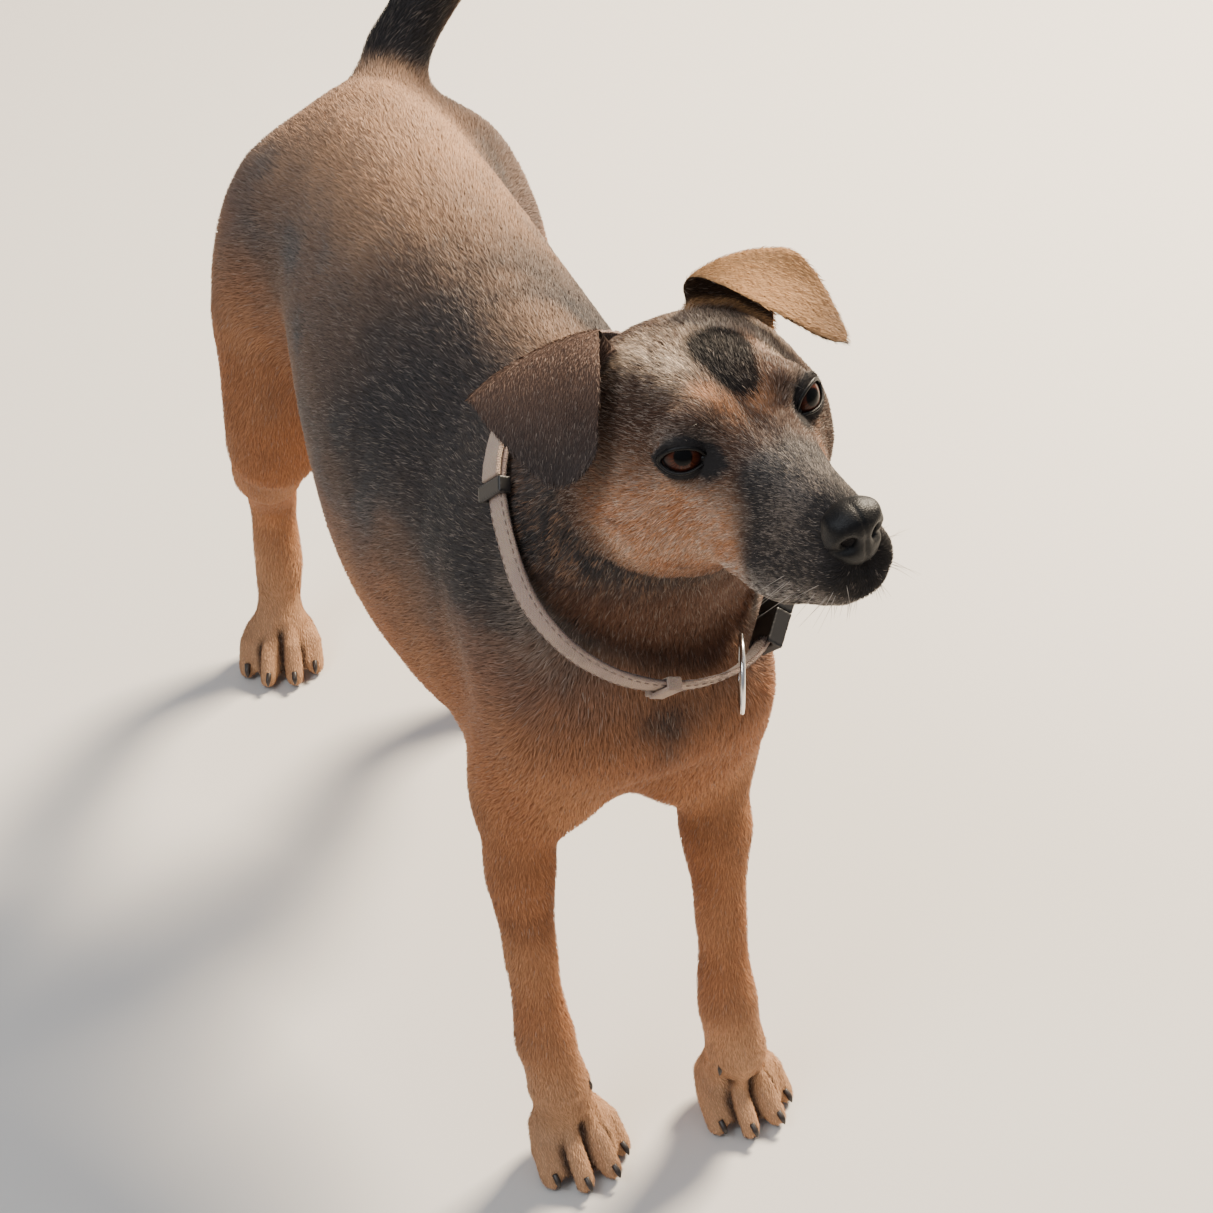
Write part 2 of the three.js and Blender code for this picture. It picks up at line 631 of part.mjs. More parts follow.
let torso = evened(rough, bodyField, fineness, 12);
for (const [name, cut] of Object.entries(PARTINGS)) torso = torso.subtract(block(cut, name.includes("leg") ? 30 : GAP));
const [trunk, ...ahead] = torso.decompose().sort((p, q) => q.volume() - p.volume());
const [headWhole, neck] = ahead
  .filter((piece) => piece.boundingBox().min[2] > 300 && piece.boundingBox().max[1] < 0)
  .sort((p, q) => p.boundingBox().min[1] - q.boundingBox().min[1]);

// ---------------------------------------------------------------- legs, paws and claws

// A claw: a cone that curls down towards its tip, starting inside the toe.
function claw([x, y, z], heading, dip) {
  const cone = new THREE.ConeGeometry(CLAW.radius, CLAW.long, 5, 2);
  cone.translate(0, CLAW.long / 2 - CLAW.hidden, 0);
  const place = cone.attributes.position;
  for (let i = 0; i < place.count; i += 1) {
    const t = clamp(place.getY(i) / (CLAW.long - CLAW.hidden), 0, 1);
    place.setZ(i, place.getZ(i) * 1.15 - CLAW.curl * t * t);
  }
  const turn = new THREE.Matrix4().makeRotationFromEuler(new THREE.Euler(degToRad(-dip), 0, degToRad(heading + 180), "ZXY"));
  return solid(cone.applyMatrix4(turn.setPosition(x, y, z)));
}

function toe(j, chainOfThree, s) {
  const place = pawFrame(j);
  const points = chainOfThree.map(([out, ...rest]) => place([out * s, ...rest]));
  return tube(chain(points, 5), points, { sides: 6, rings: 2, ends: 1 });
}

// Each toe's claw: where it starts, its heading and its dip.
function clawsOf(j) {
  const place = pawFrame(j);
  const heading = (s) => j.paw[2] + j.side * s * 4;
  const list = [];
  for (const s of [-1, 1])
    for (const [name, set] of Object.entries(TOES)) {
      const [out, forward, up, radius] = set[2];
      list.push([`${s > 0 ? "outer" : "inner"}_${name === "inner" ? "middle" : "side"}`, place([out * s, forward + radius - 1, up + 2.6]), heading(s), 36]);
    }
  return list;
}

// Where a dewclaw's claw leaves the skin, with its heading and its dip.
function dewclawSeat(j) {
  const [heading, dip] = [j.paw[2] - j.side * 30, 54];
  const level = Math.cos(degToRad(dip));
  const way = V(level * Math.sin(degToRad(heading)), -level * Math.cos(degToRad(heading)), -Math.sin(degToRad(dip)));
  const from = V(...dewclaw(j));
  return [from.clone().addScaledVector(way, reach(bodyField, from, way, 40)).toArray(), heading, dip];
}

const floor = block({ at: [0, 0, 0], facing: [0, 0, -1], wide: 900, deep: 900 }, 40).translate([0, 0, -GAP / 2]);
const limbsOf = { front_leg: FORE, hind_leg: HIND };
const limbs = {};
const claws = {};
for (const [kind, set] of Object.entries(limbsOf))
  for (const [hand, j] of Object.entries(set)) {
    const name = `${kind}_${hand}`;
    const body = tube(bodyField, legAxis[name], { sides: 11, rings: 14, most: 64 });
    const toes = [-1, 1].flatMap((s) => Object.values(TOES).map((set) => toe(j, set, s)));
    let limb = joinAll([body, ...toes]).subtract(floor);
    const list = clawsOf(j);
    if (kind === "front_leg") list.push(["dewclaw", ...dewclawSeat(j)]);
    const full = grown(limb, GAP);
    for (const [which, at, heading, dip] of list)
      claws[`claw_${kind.replace("_leg", "")}_${hand}_${which}`] = biggest(claw(at, heading, dip).subtract(full));
    const ankle = kind === "front_leg" ? j.pastern : j.shank;
    limb = limb.subtract(block({ at: ankle.slice(0, 3), facing: [0, -0.25, -1], wide: 70, deep: 70 }));
    const cut = PARTINGS[name];
    limb = limb.subtract(block({ ...cut, facing: cut.facing.map((v) => -v), wide: 300, deep: 300 }, 200));
    const [paw, leg] = limb.decompose().sort((p, q) => q.volume() - p.volume()).slice(0, 2)
      .sort((p, q) => p.boundingBox().min[2] - q.boundingBox().min[2]);
    limbs[name] = leg;
    limbs[`${kind.replace("_leg", "")}_paw_${hand}`] = paw;
  }

const tailCut = PARTINGS.tail;
const tail = biggest(
  tube(bodyField, TAIL, { sides: 10, rings: 13, most: 30 })
    .subtract(block({ ...tailCut, facing: tailCut.facing.map((v) => -v), wide: 200, deep: 200 }, 200)),
);

// ---------------------------------------------------------------- eyes, nose and ears

const blob = (radius, scale, matrix, facets = [11, 8]) => solid(new THREE.SphereGeometry(radius, ...facets).scale(...scale).applyMatrix4(matrix));
const onFace = (x, y, z, turn = [0, 0, 0]) =>
  headTurn.clone().multiply(new THREE.Matrix4().makeRotationFromEuler(new THREE.Euler(...turn.map(degToRad), "ZXY"))
    .setPosition(x, y, z));

function eyeParts(s) {
  const seat = onFace(s * EYE.apart, EYE.back, 0, [0, 0, s * EYE.aim]);
  const eye = blob(EYE.radius, [1, 1, 1], seat);
  const socket = blob(EYE.radius + GAP, [1, 1, 1], seat);
  const slit = onFace(s * (EYE.apart + 3), EYE.back - 9, 0, [0, s * -8, s * (EYE.aim + 22)]);
  const opening = blob(1, [EYE.open[0], 9, EYE.open[1]], slit);
  return { eye, hole: socket.add(opening) };
}
const [eyeRight, eyeLeft] = [eyeParts(-1), eyeParts(1)];

function noseBlob(grow) {
  const field = (p) => noseField(p) - grow;
  const centre = V(0, 0, 0).fromArray(headPoint(0, -68, -23));
  const ball = new THREE.SphereGeometry(1, 11, 8);
  const place = ball.attributes.position;
  for (let i = 0; i < place.count; i += 1) {
    const way = V(0, 0, 0).fromBufferAttribute(place, i).normalize();
    place.setXYZ(i, ...way.clone().multiplyScalar(reach(field, centre, way, 30)).add(centre).toArray());
  }
  return solid(ball);
}
let nose = noseBlob(0);
for (const s of [-1, 1]) nose = nose.subtract(blob(1, NOSTRIL.size, onFace(s * NOSTRIL.apart, -79, -24, [0, s * 24, s * 14]), [7, 5]));

// An ear: a sheet through its three ribs, thick at its root and thin at its edge.
function ear(ribs) {
  const curves = ribs.map((rib) => new THREE.CatmullRomCurve3(rib.map((p) => V(...p)), false, "centripetal"));
  const at = (u, v) => {
    const [a, b, c] = curves.map((curve) => curve.getPoint(v));
    const weights = [(1 - u) * (1 - 2 * u), 4 * u * (1 - u), u * (2 * u - 1)];
    return a.multiplyScalar(weights[0]).addScaledVector(b, weights[1]).addScaledVector(c, weights[2]);
  };
  const wide = EAR.columns + 1;
  const layers = [[], []];
  for (let j = 0; j <= EAR.rows; j += 1)
    for (let i = 0; i <= EAR.columns; i += 1) {
      const [u, v] = [i / EAR.columns, j / EAR.rows];
      const near = [clamp(u, 0.02, 0.98), clamp(v, 0.02, 0.98)];
      const across = at(near[0] + 0.02, near[1]).sub(at(near[0] - 0.02, near[1]));
      const down = at(near[0], near[1] + 0.02).sub(at(near[0], near[1] - 0.02));
      const facing = across.cross(down).normalize();
      const body = Math.min(1, 5 * u * (1 - u) + 0.1) * Math.min(1, 3.5 * (1 - v) + 0.1);
      const half = lerp(EAR.edge, EAR.thick, Math.max(body, 1 - 2 * v)) / 2;
      layers[0].push(at(u, v).addScaledVector(facing, half));
      layers[1].push(at(u, v).addScaledVector(facing, -half));
    }
  const vertices = layers.flat().flatMap((p) => p.applyMatrix4(headTurn).toArray());
  const index = [];
  const other = wide * (EAR.rows + 1);
  const quad = (a, b, c, d) => index.push(a, b, c, a, c, d);
  for (let j = 0; j < EAR.rows; j += 1)
    for (let i = 0; i < EAR.columns; i += 1) {
      const a = j * wide + i;
      quad(a, a + 1, a + wide + 1, a + wide);
      quad(other + a, other + a + wide, other + a + wide + 1, other + a + 1);
    }
  for (let j = 0; j < EAR.rows; j += 1) {
    const [a, b] = [j * wide, j * wide + EAR.columns];
    quad(a, a + wide, a + wide + other, a + other);
    quad(b, b + other, b + wide + other, b + wide);
  }
  for (let i = 0; i < EAR.columns; i += 1) {
    const [a, b] = [i, EAR.rows * wide + i];
    quad(a, a + other, a + other + 1, a + 1);
    quad(b, b + 1, b + 1 + other, b + other);
  }
  return solid(closed(vertices, index));
}

const headFull = grown(headWhole, GAP);
const ears = Object.fromEntries(Object.entries(RIBS).map(([hand, ribs]) => {
  const sheet = ear(ribs);
  return [hand, biggest((sheet.volume() > 0 ? sheet : ear(ribs.slice().reverse())).subtract(headFull))];
}));
const head = biggest(headWhole.subtract(eyeRight.hole).subtract(eyeLeft.hole).subtract(noseBlob(GAP)));

// ---------------------------------------------------------------- collar

const plane = facingFrame(COLLAR.facing).setPosition(COLLAR.at);
const inPlane = ([angle, radius]) => V(radius * Math.cos(degToRad(angle)), radius * Math.sin(degToRad(angle)), 0);
const loop = new THREE.CatmullRomCurve3(LOOP.map(inPlane), true, "centripetal");

// The strap's own frame at a part of its loop: x along it, y across it towards the head, z outwards.
function onStrap(part) {
  const at = loop.getPointAt(((part % 1) + 1) % 1);
  const along = loop.getTangentAt(((part % 1) + 1) % 1);
  const frame = new THREE.Matrix4().makeBasis(along, V(0, 0, 1), V(along.y, -along.x, 0)).setPosition(at);
  return frame.premultiply(plane);
}

// The part of the loop nearest to an angle.
function partAt(angle) {
  const wanted = V(Math.cos(degToRad(angle)), Math.sin(degToRad(angle)), 0);
  const parts = Array.from({ length: 720 }, (_, i) => i / 720);
  const toward = (part) => loop.getPointAt(part).normalize().dot(wanted);
  return parts.reduce((best, part) => (toward(part) > toward(best) ? part : best));
}

// A closed band round the neck, raised off the middle of the strap.
function band(raised, thick) {
  const vertices = [];
  const index = [];
  const profile = [[-1, -1], [-1, 1], [1, 1], [1, -1]];
  for (let i = 0; i < COLLAR.segments; i += 1) {
    const frame = onStrap(i / COLLAR.segments);
    for (const [across, out] of profile)
      vertices.push(...V(0, (across * COLLAR.wide) / 2, raised + (out * thick) / 2).applyMatrix4(frame).toArray());
    const [a, b] = [4 * i, 4 * ((i + 1) % COLLAR.segments)];
    for (let k = 0; k < 4; k += 1) {
      const next = (k + 1) % 4;
      index.push(a + k, b + k, b + next, a + k, b + next, a + next);
    }
  }
  return solid(closed(vertices, index));
}
const boxOn = (part, size, [x, y, z] = [0, 0, 0]) =>
  solid(new THREE.BoxGeometry(...size).translate(x, y, z).applyMatrix4(onStrap(part)));

const strapRing = band(0, COLLAR.thick);
const strapFull = grown(strapRing, GAP);
const buckleAt = partAt(BUCKLE.at);
const buckleHalf = (long, x) => boxOn(buckleAt, [long, BUCKLE.wide, BUCKLE.thick], [x, 0, BUCKLE.out]).subtract(strapFull);
const foldRing = band((COLLAR.thick + FOLD.thick) / 2 + GAP, FOLD.thick);
const [tabLong, tabDeep, tabThick] = KEEPER.tab;
const keeperAt = partAt(KEEPER.at);
const tab = boxOn(keeperAt, [tabLong, tabDeep, tabThick], [0, 1 - (KEEPER.size[1] + tabDeep) / 2, 0.5]);
const slideAt = partAt(SLIDE.at);

// The ring hangs round the strap: a wire hoop standing edge to the front.
function wireRing() {
  const hoop = new THREE.TorusGeometry(RING.radius, RING.wire, 5, 16);
  const middle = V(0, 0, 0).setFromMatrixPosition(onStrap(partAt(RING.at))).add(V(...RING.shift));
  return solid(hoop.applyMatrix4(facingFrame(RING.facing).setPosition(middle)));
}
const collar = {
  collar_strap: strapRing.subtract(boxOn(buckleAt, [5, 30, 20])),
  collar_buckle_socket: buckleHalf(BUCKLE.socket, -(BUCKLE.plug + GAP) / 2),
  collar_buckle_plug: buckleHalf(BUCKLE.plug, (BUCKLE.socket + GAP) / 2),
  collar_fold: foldRing.intersect(boxOn(partAt(FOLD.at), [FOLD.long, 30, 40])).subtract(boxOn(slideAt, [8, 40, 40])),
  collar_slide: boxOn(slideAt, SLIDE.size, [0, 0, 1]).subtract(strapFull),
  collar_keeper: boxOn(keeperAt, KEEPER.size, [0, 0, 0.7]).subtract(strapFull).add(tab),
  collar_ring: wireRing(),
};

// ---------------------------------------------------------------- the model

const paint = (color, roughness, metalness = 0) => new THREE.MeshStandardMaterial({ color, roughness, metalness });
const COLOURS = [
  [/^head$/, paint(0x5a4638, 0.85)],
  [/^neck$/, paint(0x4c3d34, 0.85)],
  [/^trunk$/, paint(0x5d5049, 0.85)],
  [/^tail$/, paint(0x3d312b, 0.85)],
  [/paw/, paint(0xb08866, 0.85)],
  [/leg/, paint(0xa06b45, 0.85)],
  [/^ear/, paint(0x8a7465, 0.85)],
  [/^eye/, paint(0x4a2a18, 0.1)],
  [/^nose/, paint(0x1d1d21, 0.35)],
  [/^claw/, paint(0x1b1817, 0.5)],
  [/strap|fold|keeper/, paint(0xb39d92, 0.9)],
  [/slide|buckle/, paint(0x131315, 0.4)],
  [/ring/, paint(0xc9ccd0, 0.25, 1)],
];
const dog = new THREE.Group();
const flesh = { head, neck, trunk, tail, ...limbs, ear_right: ears.right, ear_left: ears.left };
const apart = { eye_right: eyeRight.eye, eye_left: eyeLeft.eye, nose, ...claws, ...collar };
for (const [name, piece] of Object.entries({ ...flesh, ...apart })) {
  const [, material] = COLOURS.find(([pattern]) => pattern.test(name));
  const geometry = shape(corners(piece)).translate(-MIDDLE[0], -MIDDLE[1], 0);
  const mesh = new THREE.Mesh(geometry, material.clone());
  mesh.name = name;
  dog.add(mesh);
}

export default dog;
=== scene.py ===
import math

import bmesh
import bpy
import numpy as np
from mathutils import Matrix, Vector
from mathutils.bvhtree import BVHTree


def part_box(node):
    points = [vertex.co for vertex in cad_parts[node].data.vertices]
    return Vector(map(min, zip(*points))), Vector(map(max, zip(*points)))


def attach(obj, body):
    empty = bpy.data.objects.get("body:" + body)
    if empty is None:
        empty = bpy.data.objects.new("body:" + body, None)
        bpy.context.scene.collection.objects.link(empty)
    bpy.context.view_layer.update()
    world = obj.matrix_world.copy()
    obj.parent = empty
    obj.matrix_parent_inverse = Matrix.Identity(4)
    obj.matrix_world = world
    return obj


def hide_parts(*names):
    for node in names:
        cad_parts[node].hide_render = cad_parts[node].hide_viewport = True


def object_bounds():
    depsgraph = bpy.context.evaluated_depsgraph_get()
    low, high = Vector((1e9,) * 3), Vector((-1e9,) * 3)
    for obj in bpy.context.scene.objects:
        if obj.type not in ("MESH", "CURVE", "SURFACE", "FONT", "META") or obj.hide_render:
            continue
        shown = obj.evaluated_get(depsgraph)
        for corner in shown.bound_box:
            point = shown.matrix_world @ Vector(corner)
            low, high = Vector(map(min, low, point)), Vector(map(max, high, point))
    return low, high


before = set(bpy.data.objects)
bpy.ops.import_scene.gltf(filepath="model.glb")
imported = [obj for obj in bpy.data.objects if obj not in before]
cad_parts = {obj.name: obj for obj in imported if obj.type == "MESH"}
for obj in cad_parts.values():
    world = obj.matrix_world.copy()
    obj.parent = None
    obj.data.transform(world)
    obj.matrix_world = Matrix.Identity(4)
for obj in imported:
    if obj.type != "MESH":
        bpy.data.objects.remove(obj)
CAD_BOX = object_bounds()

# A short-coated dog of middle size, standing, with a flat collar. Blender works in metres; the shapes
# here are worked out in millimetres and turned into metres as each mesh is made. The dog faces -Y and
# its left side is +X. Random numbers come from one seeded generator, so every run gives the same dog.
MM = 0.001
rng = np.random.default_rng(7)

# ---------------------------------------------------------------- driving values

CAMERA = {"azimuth": -18.09, "elevation": 36.59, "roll": -0.86, "distance": 1.5748, "lens": 89.75}
CAMERA_AIM = (0.0143, 0.0363, 0.200)

LEGS = ["front_leg_right", "front_leg_left", "hind_leg_right", "hind_leg_left"]
PAWS = [name.replace("leg", "paw") for name in LEGS]
EARS = ["ear_right", "ear_left"]
EYES = ["eye_right", "eye_left"]
FLESH = ["head", "neck", "trunk", "tail"] + LEGS + PAWS + EARS
CLAWS = sorted(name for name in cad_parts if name.startswith("claw_"))
PART = {name: index for index, name in enumerate(FLESH)}

VOXEL = {"head": 1.1, "body": 2.6, "paw": 1.35, "nose": 0.6, "fitting": 0.6}
GROW = 0.4  # how much the solids grow, to close the thin cuts between them
ANKLE = 54.0  # the height at which the finer skin of the paws takes over
SEAM = 3.0  # how far the head's and the body's skin pass the collar's middle, under the strap
SPARE = 30.0  # how far they are made past it before they are trimmed
EYE_RADIUS = 10.6
LID_RADIUS = EYE_RADIUS * 1.05  # the ball on which distances over the lids are measured
LID = 1.2  # how far a lid lies over the ball
HOLLOW = 1.6  # how far the skin falls behind the ball's surface, inside the opening
FAR = 99.0  # stands for any place away from the eye
EYE_OPEN = {"outer": 9.9, "inner": 12.0, "up": 6.0, "down": 4.9, "yaw": 31.0, "pitch": 0.0, "tilt": 8.0}
GAZE = {-1: (24.0, 12.0), 1: (20.0, 4.0)}  # outward and upward, in degrees, for the right and left eye
IRIS = {"pupil": 19.0, "edge": 44.0, "ring": 50.0}  # angles from the line of sight, in degrees
UNDERFUR = 0.62  # the skin's colour, as a share of the hair's
PATCH = 0.003  # a tuft's size on the map
LARGEST = 64000  # tufts in one piece of the coat
HEAD_RUN = (-80.0, 190.0)  # where the head starts and how long it is, along its own frame
NECK_RUN = (-30.0, 110.0)  # the same for the neck, from the collar's plane
STRAP = {"half_width": 6.4, "half_thickness": 1.45, "stitch_line": 4.9, "rings": 340, "corners": 28}

# How deep the coat is on each part, how many tufts to a square millimetre, and a tuft's length and width.
COAT = {
    "head": (0.9, 1.9, 4.2, 0.34),
    "ear": (0.7, 1.5, 3.2, 0.30),
    "neck": (1.5, 1.05, 6.8, 0.45),
    "trunk": (1.5, 0.73, 6.9, 0.50),
    "tail": (1.3, 0.90, 6.2, 0.44),
    "leg": (1.0, 0.86, 4.8, 0.40),
    "paw": (0.7, 1.4, 3.2, 0.33),
}
COAT_PIECES = {
    "coat_head": (["head"] + EARS, "head_coat"),
    "coat_neck_tail": (["neck", "tail"], "neck_coat"),
    "coat_trunk": (["trunk"], "back_coat"),
    "coat_legs": (LEGS + PAWS, "leg_coat"),
}

# Each part's rectangle on the map, as left, bottom, width and height.
ATLAS = {
    "head": (0.02, 0.02, 0.60, 0.46),
    "ear_right": (0.66, 0.02, 0.15, 0.46),
    "ear_left": (0.83, 0.02, 0.15, 0.46),
    "trunk": (0.02, 0.02, 0.96, 0.96),
    "neck": (0.02, 0.52, 0.46, 0.46),
    "tail": (0.52, 0.52, 0.46, 0.46),
}
for column, (leg, paw) in enumerate(zip(LEGS, PAWS)):
    ATLAS[leg] = (0.01 + 0.25 * column, 0.30, 0.23, 0.68)
    ATLAS[paw] = (0.01 + 0.25 * column, 0.02, 0.23, 0.26)

# Forms of the head on each side: how far each stands out, its centre in the head's frame, and its radii.
HEAD_FORMS = [
    (1.7, (19, -4, 15), (9, 7, 5)),  # brow
    (1.8, (40, 22, -14), (10, 20, 8)),  # cheekbone
    (-1.5, (37, 26, 12), (10, 15, 9)),  # temple
    (-1.1, (25, -13, -15), (9, 12, 5)),  # hollow below the eye
    (1.1, (15, -50, -40), (8, 15, 8)),  # lip
    (-0.8, (14, -30, -16), (5, 22, 7)),  # side of the muzzle
]

# The same for the body, round places given as fractions of a limb's box.
BODY_FORMS = {
    ("front_leg", (0.5, 0.85, 0.97)): [  # elbow and shoulder blade
        (2.2, (0, 0, 0), (16, 9, 11)),
        (-1.4, (0, 22, 22), (22, 8, 26)),
        (1.6, (4, 2, 96), (30, 9, 46)),
        (-1.3, (4, 26, 96), (30, 9, 50)),
    ],
    ("hind_leg", (0.5, 0.12, 0.86)): [(-1.6, (0, -14, 26), (26, 12, 22))],  # the stifle's fold
    ("hind_leg", (0.5, 0.93, 0.40)): [(-1.2, (0, -13, 22), (18, 6, 26))],  # hollow above the hock
    ("front_leg", (0.5, 0.5, 0.30)): [(0.8, (0, -12, 0), (12, 8, 12))],  # wrist
}

NOSE_FORMS = [
    (-4.6, (6.8, -80, -23.8), (2.9, 7, 2.9)),  # nostril
    (-2.2, (11.0, -75.5, -26.6), (3.8, 6, 1.2)),  # its slit
    (0.8, (10.4, -77, -21.3), (3.2, 5, 2.2)),  # its wing
]

# Marks on the head: how strong each is, its centre in the head's frame, and its radii.
HEAD_MARKS = {
    # temple is used on the right side only, as painted shade
    "temple": [(1.15, (31, 33, 18), (17, 21, 13)), (0.9, (26, 54, 25), (12, 14, 9))],
    # painted sunlight on the top of the skull
    "sunlit_crown": [(1, (10, 44, 29), (15, 20, 14)), (0.9, (12, 22, 25), (8, 16, 9))],
    # rim is painted sunlight along the outline of the head's left side
    "rim": [(1, (28, 32, 18), (7, 22, 8)), (0.9, (36, 28, 8), (7, 15, 8))],
    "cheek": [(1.1, (46, 24, -30), (26, 24, 21)), (1, (27, -6, -34), (16, 15, 17)),
              (0.9, (34, 24, -52), (20, 26, 15)), (0.5, (38, 4, -14), (12, 12, 7))],
    "flush": [(1, (34, 26, -52), (18, 16, 9)), (0.6, (48, 34, -18), (10, 12, 12))],
    "brow": [(1, (7, -4, 12), (5.5, 8, 6)), (0.8, (10, 8, 18), (5, 8, 6))],
    "left_brow": [(1, (20, 4, 18), (12, 18, 10))],
    "rusty_patch": [(1, (22, 24, 25), (6, 9, 7))],
    # ear_shadow is the left ear's painted shadow on the forehead
    "ear_shadow": [(1.3, (9.5, 25, 27), (12.5, 14.5, 15)), (0.9, (5.5, 6, 18), (8.5, 15, 10))],
    "orbit": [(1, (21, -4, 8), (9, 7, 5)), (0.7, (33, 6, 6), (9, 9, 6))],
    "bridge": [(1, (4, -32, -3), (8, 18, 9))],
    # painted shade on the far side of the face
    "far_cheek_shade": [(1.2, (45, 24, -20), (18, 28, 20)), (1, (33, 2, -28), (11, 18, 14))],
}
HEAD_SPOTS = [((-31, 30, -57), 1.5), ((-52, 36, -27), 1.3), ((33, 20, -40), 1.5), ((42, 34, -30), 1.2)]

# Whiskers on each side: the patch's centre and spread, how many, and how long.
WHISKERS = [
    ((11, -60, -42), (3, 7, 4), 8, 17),
    ((16, -44, -46), (3, 9, 4), 8, 20),
    ((7, -64, -54), (3, 6, 2), 10, 9),
    ((19, -9, 15), (4, 3, 2), 2, 10),
]


def srgb(red, green, blue):
    """A colour given as it looks on a screen, from 0 to 1, as the linear value that the shader takes."""
    return np.array([((c + 0.055) / 1.055) ** 2.4 if c > 0.04 else c / 12.92 for c in (red, green, blue)])


BLACK = srgb(0.10, 0.09, 0.09)
CHARCOAL = srgb(0.23, 0.22, 0.22)
SLATE = srgb(0.36, 0.34, 0.33)
TAUPE = srgb(0.45, 0.37, 0.32)
UMBER = srgb(0.35, 0.24, 0.18)
RUST = srgb(0.63, 0.40, 0.26)
TAN = srgb(0.77, 0.56, 0.40)
SAND = srgb(0.87, 0.75, 0.61)
SILVER = srgb(0.76, 0.71, 0.66)
AMBER = srgb(0.17, 0.075, 0.05)
HONEY = srgb(0.34, 0.17, 0.10)
SCLERA = srgb(0.30, 0.21, 0.17)
NOSE = srgb(0.05, 0.048, 0.052)
LID_SKIN = srgb(0.055, 0.045, 0.045)
HORN = srgb(0.24, 0.20, 0.17)
WEBBING = srgb(0.72, 0.61, 0.55)
LINING = srgb(0.30, 0.21, 0.17)
PLASTIC = srgb(0.105, 0.10, 0.10)
STEEL = (0.78, 0.76, 0.73)

# ---------------------------------------------------------------- small mathematics


def unit(v):
    """Each row of v at length one."""
    return v / np.maximum(np.linalg.norm(v, axis=-1, keepdims=True), 1e-9)


def ease(low, high, x):
    """0 at low and 1 at high, and smooth between, whichever of the two is the larger."""
    t = np.clip((x - low) / (high - low), 0, 1)
    return t * t * (3 - 2 * t)


def mix(a, b, t):
    """From a to b as t goes from 0 to 1. A row of shares is turned to go down a table of colours."""
    t = np.asarray(t)
    if np.ndim(a) > 0 and np.shape(a)[-1:] == (3,) and t.ndim == 1:
        t = t[:, None]
    return a + (b - a) * t


def bump(p, centre, radii):
    """A smooth hill of height one round a centre."""
    return np.exp(-(((p - np.asarray(centre)) / np.asarray(radii)) ** 2).sum(axis=1))


def hills(p, rows, at=(0, 0, 0), side=1):
    """The sum of several hills, each a height, a centre and radii. Side -1 mirrors them to the right."""
    return sum(high * bump(p, np.multiply(centre, (side, 1, 1)) + at, radii) for high, centre, radii in rows)


def line(distance, width):
    """A soft line: one where the distance is 0, fading over the width."""
    return np.exp(-(distance / width) ** 2)


def noise(p, size, seed):
    """Smooth noise from -1 to 1, with hills about `size` apart. Large numbers scatter the cells' heights."""
    q = p / size + 1000.0
    low = np.floor(q).astype(np.int64)
    t = q - low
    t = t * t * (3 - 2 * t)
    total = np.zeros(len(p))
    for corner in np.ndindex(2, 2, 2):
        cell = low + np.array(corner)
        h = cell[:, 0] * 73856093 ^ cell[:, 1] * 19349663 ^ cell[:, 2] * 83492791 ^ seed * 2654435761
        h = (h ^ (h >> 13)) * 1274126177 & 0x7FFFFFFF
        h = (h ^ (h >> 15)) * 2246822519 & 0x7FFFFFFF
        weight = np.prod(np.where(np.array(corner) == 1, t, 1 - t), axis=1)
        total += weight * ((h & 0xFFFF) / 32767.5 - 1)
    return total


# ---------------------------------------------------------------- places, from the frame


def span(node):
    low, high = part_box(node)
    return np.array(low) / MM, np.array(high) / MM


def middle(node):
    low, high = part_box(node)
    return np.array((low + high) / 2) / MM


def inside(node, x, y, z):
    """A point at the given fractions of a node's box."""
    low, high = span(node)
    return low + (high - low) * np.array([x, y, z])


def along(node, points, axis):
    """How far each point is along a node's box on one axis, from 0 to 1."""
    low, high = span(node)
    return (points[:, axis] - low[axis]) / (high[axis] - low[axis])


class Head:
    """The head's own frame: x to the dog's left, y backward and z up, from between the eyes."""

    eyes = {-1: middle("eye_right"), 1: middle("eye_left")}
    back = 8.0  # the eyes' centres lie this far behind the frame's origin
    slope = math.atan2(23, 77)  # the nose lies 23 below the eyes' centres and 77 ahead
    left = unit(eyes[1] - eyes[-1])
    down_nose = middle("nose") - (eyes[1] + eyes[-1]) / 2
    down_nose = unit(down_nose - left * (down_nose @ left))
    across = np.cross(left, down_nose)
    backward = -math.cos(slope) * down_nose + math.sin(slope) * across
    up = -math.sin(slope) * down_nose - math.cos(slope) * across
    axes = np.array([left, backward, up])
    origin = (eyes[1] + eyes[-1]) / 2 - back * backward

    @classmethod
    def local(cls, p):
        return (p - cls.origin) @ cls.axes.T

    @classmethod
    def world(cls, p):
        return np.asarray(p) @ cls.axes + cls.origin


# ---------------------------------------------------------------- meshes


def node_mesh(node):
    """A node's corners, in millimetres, and its faces, with corners at one place joined."""
    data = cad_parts[node].data
    points = np.empty(len(data.vertices) * 3)
    data.vertices.foreach_get("co", points)
    points = points.reshape(-1, 3) / MM
    _, first, joined = np.unique(np.round(points, 4), axis=0, return_index=True, return_inverse=True)
    joined = joined.ravel()
    faces = [[int(joined[v]) for v in face.vertices] for face in data.polygons]
    return points[first], [face for face in faces if len(set(face)) == len(face)]


def merged(parts):
    """Several meshes as one."""
    points, faces, count = [], [], 0
    for part_points, part_faces in parts:
        points.append(part_points)
        faces += [[int(v) + count for v in face] for face in part_faces]
        count += len(part_points)
    return np.concatenate(points), faces


def normals_of(points, faces):
    """Corner normals of a mesh whose faces are rows of corner numbers."""
    cross = np.cross(points[faces[:, 2]] - points[faces[:, 0]], points[faces[:, -1]] - points[faces[:, 1]])
    total = np.empty_like(points)
    for axis in range(3):
        total[:, axis] = sum(np.bincount(row, cross[:, axis], len(points)) for row in faces.T)
    return unit(total)


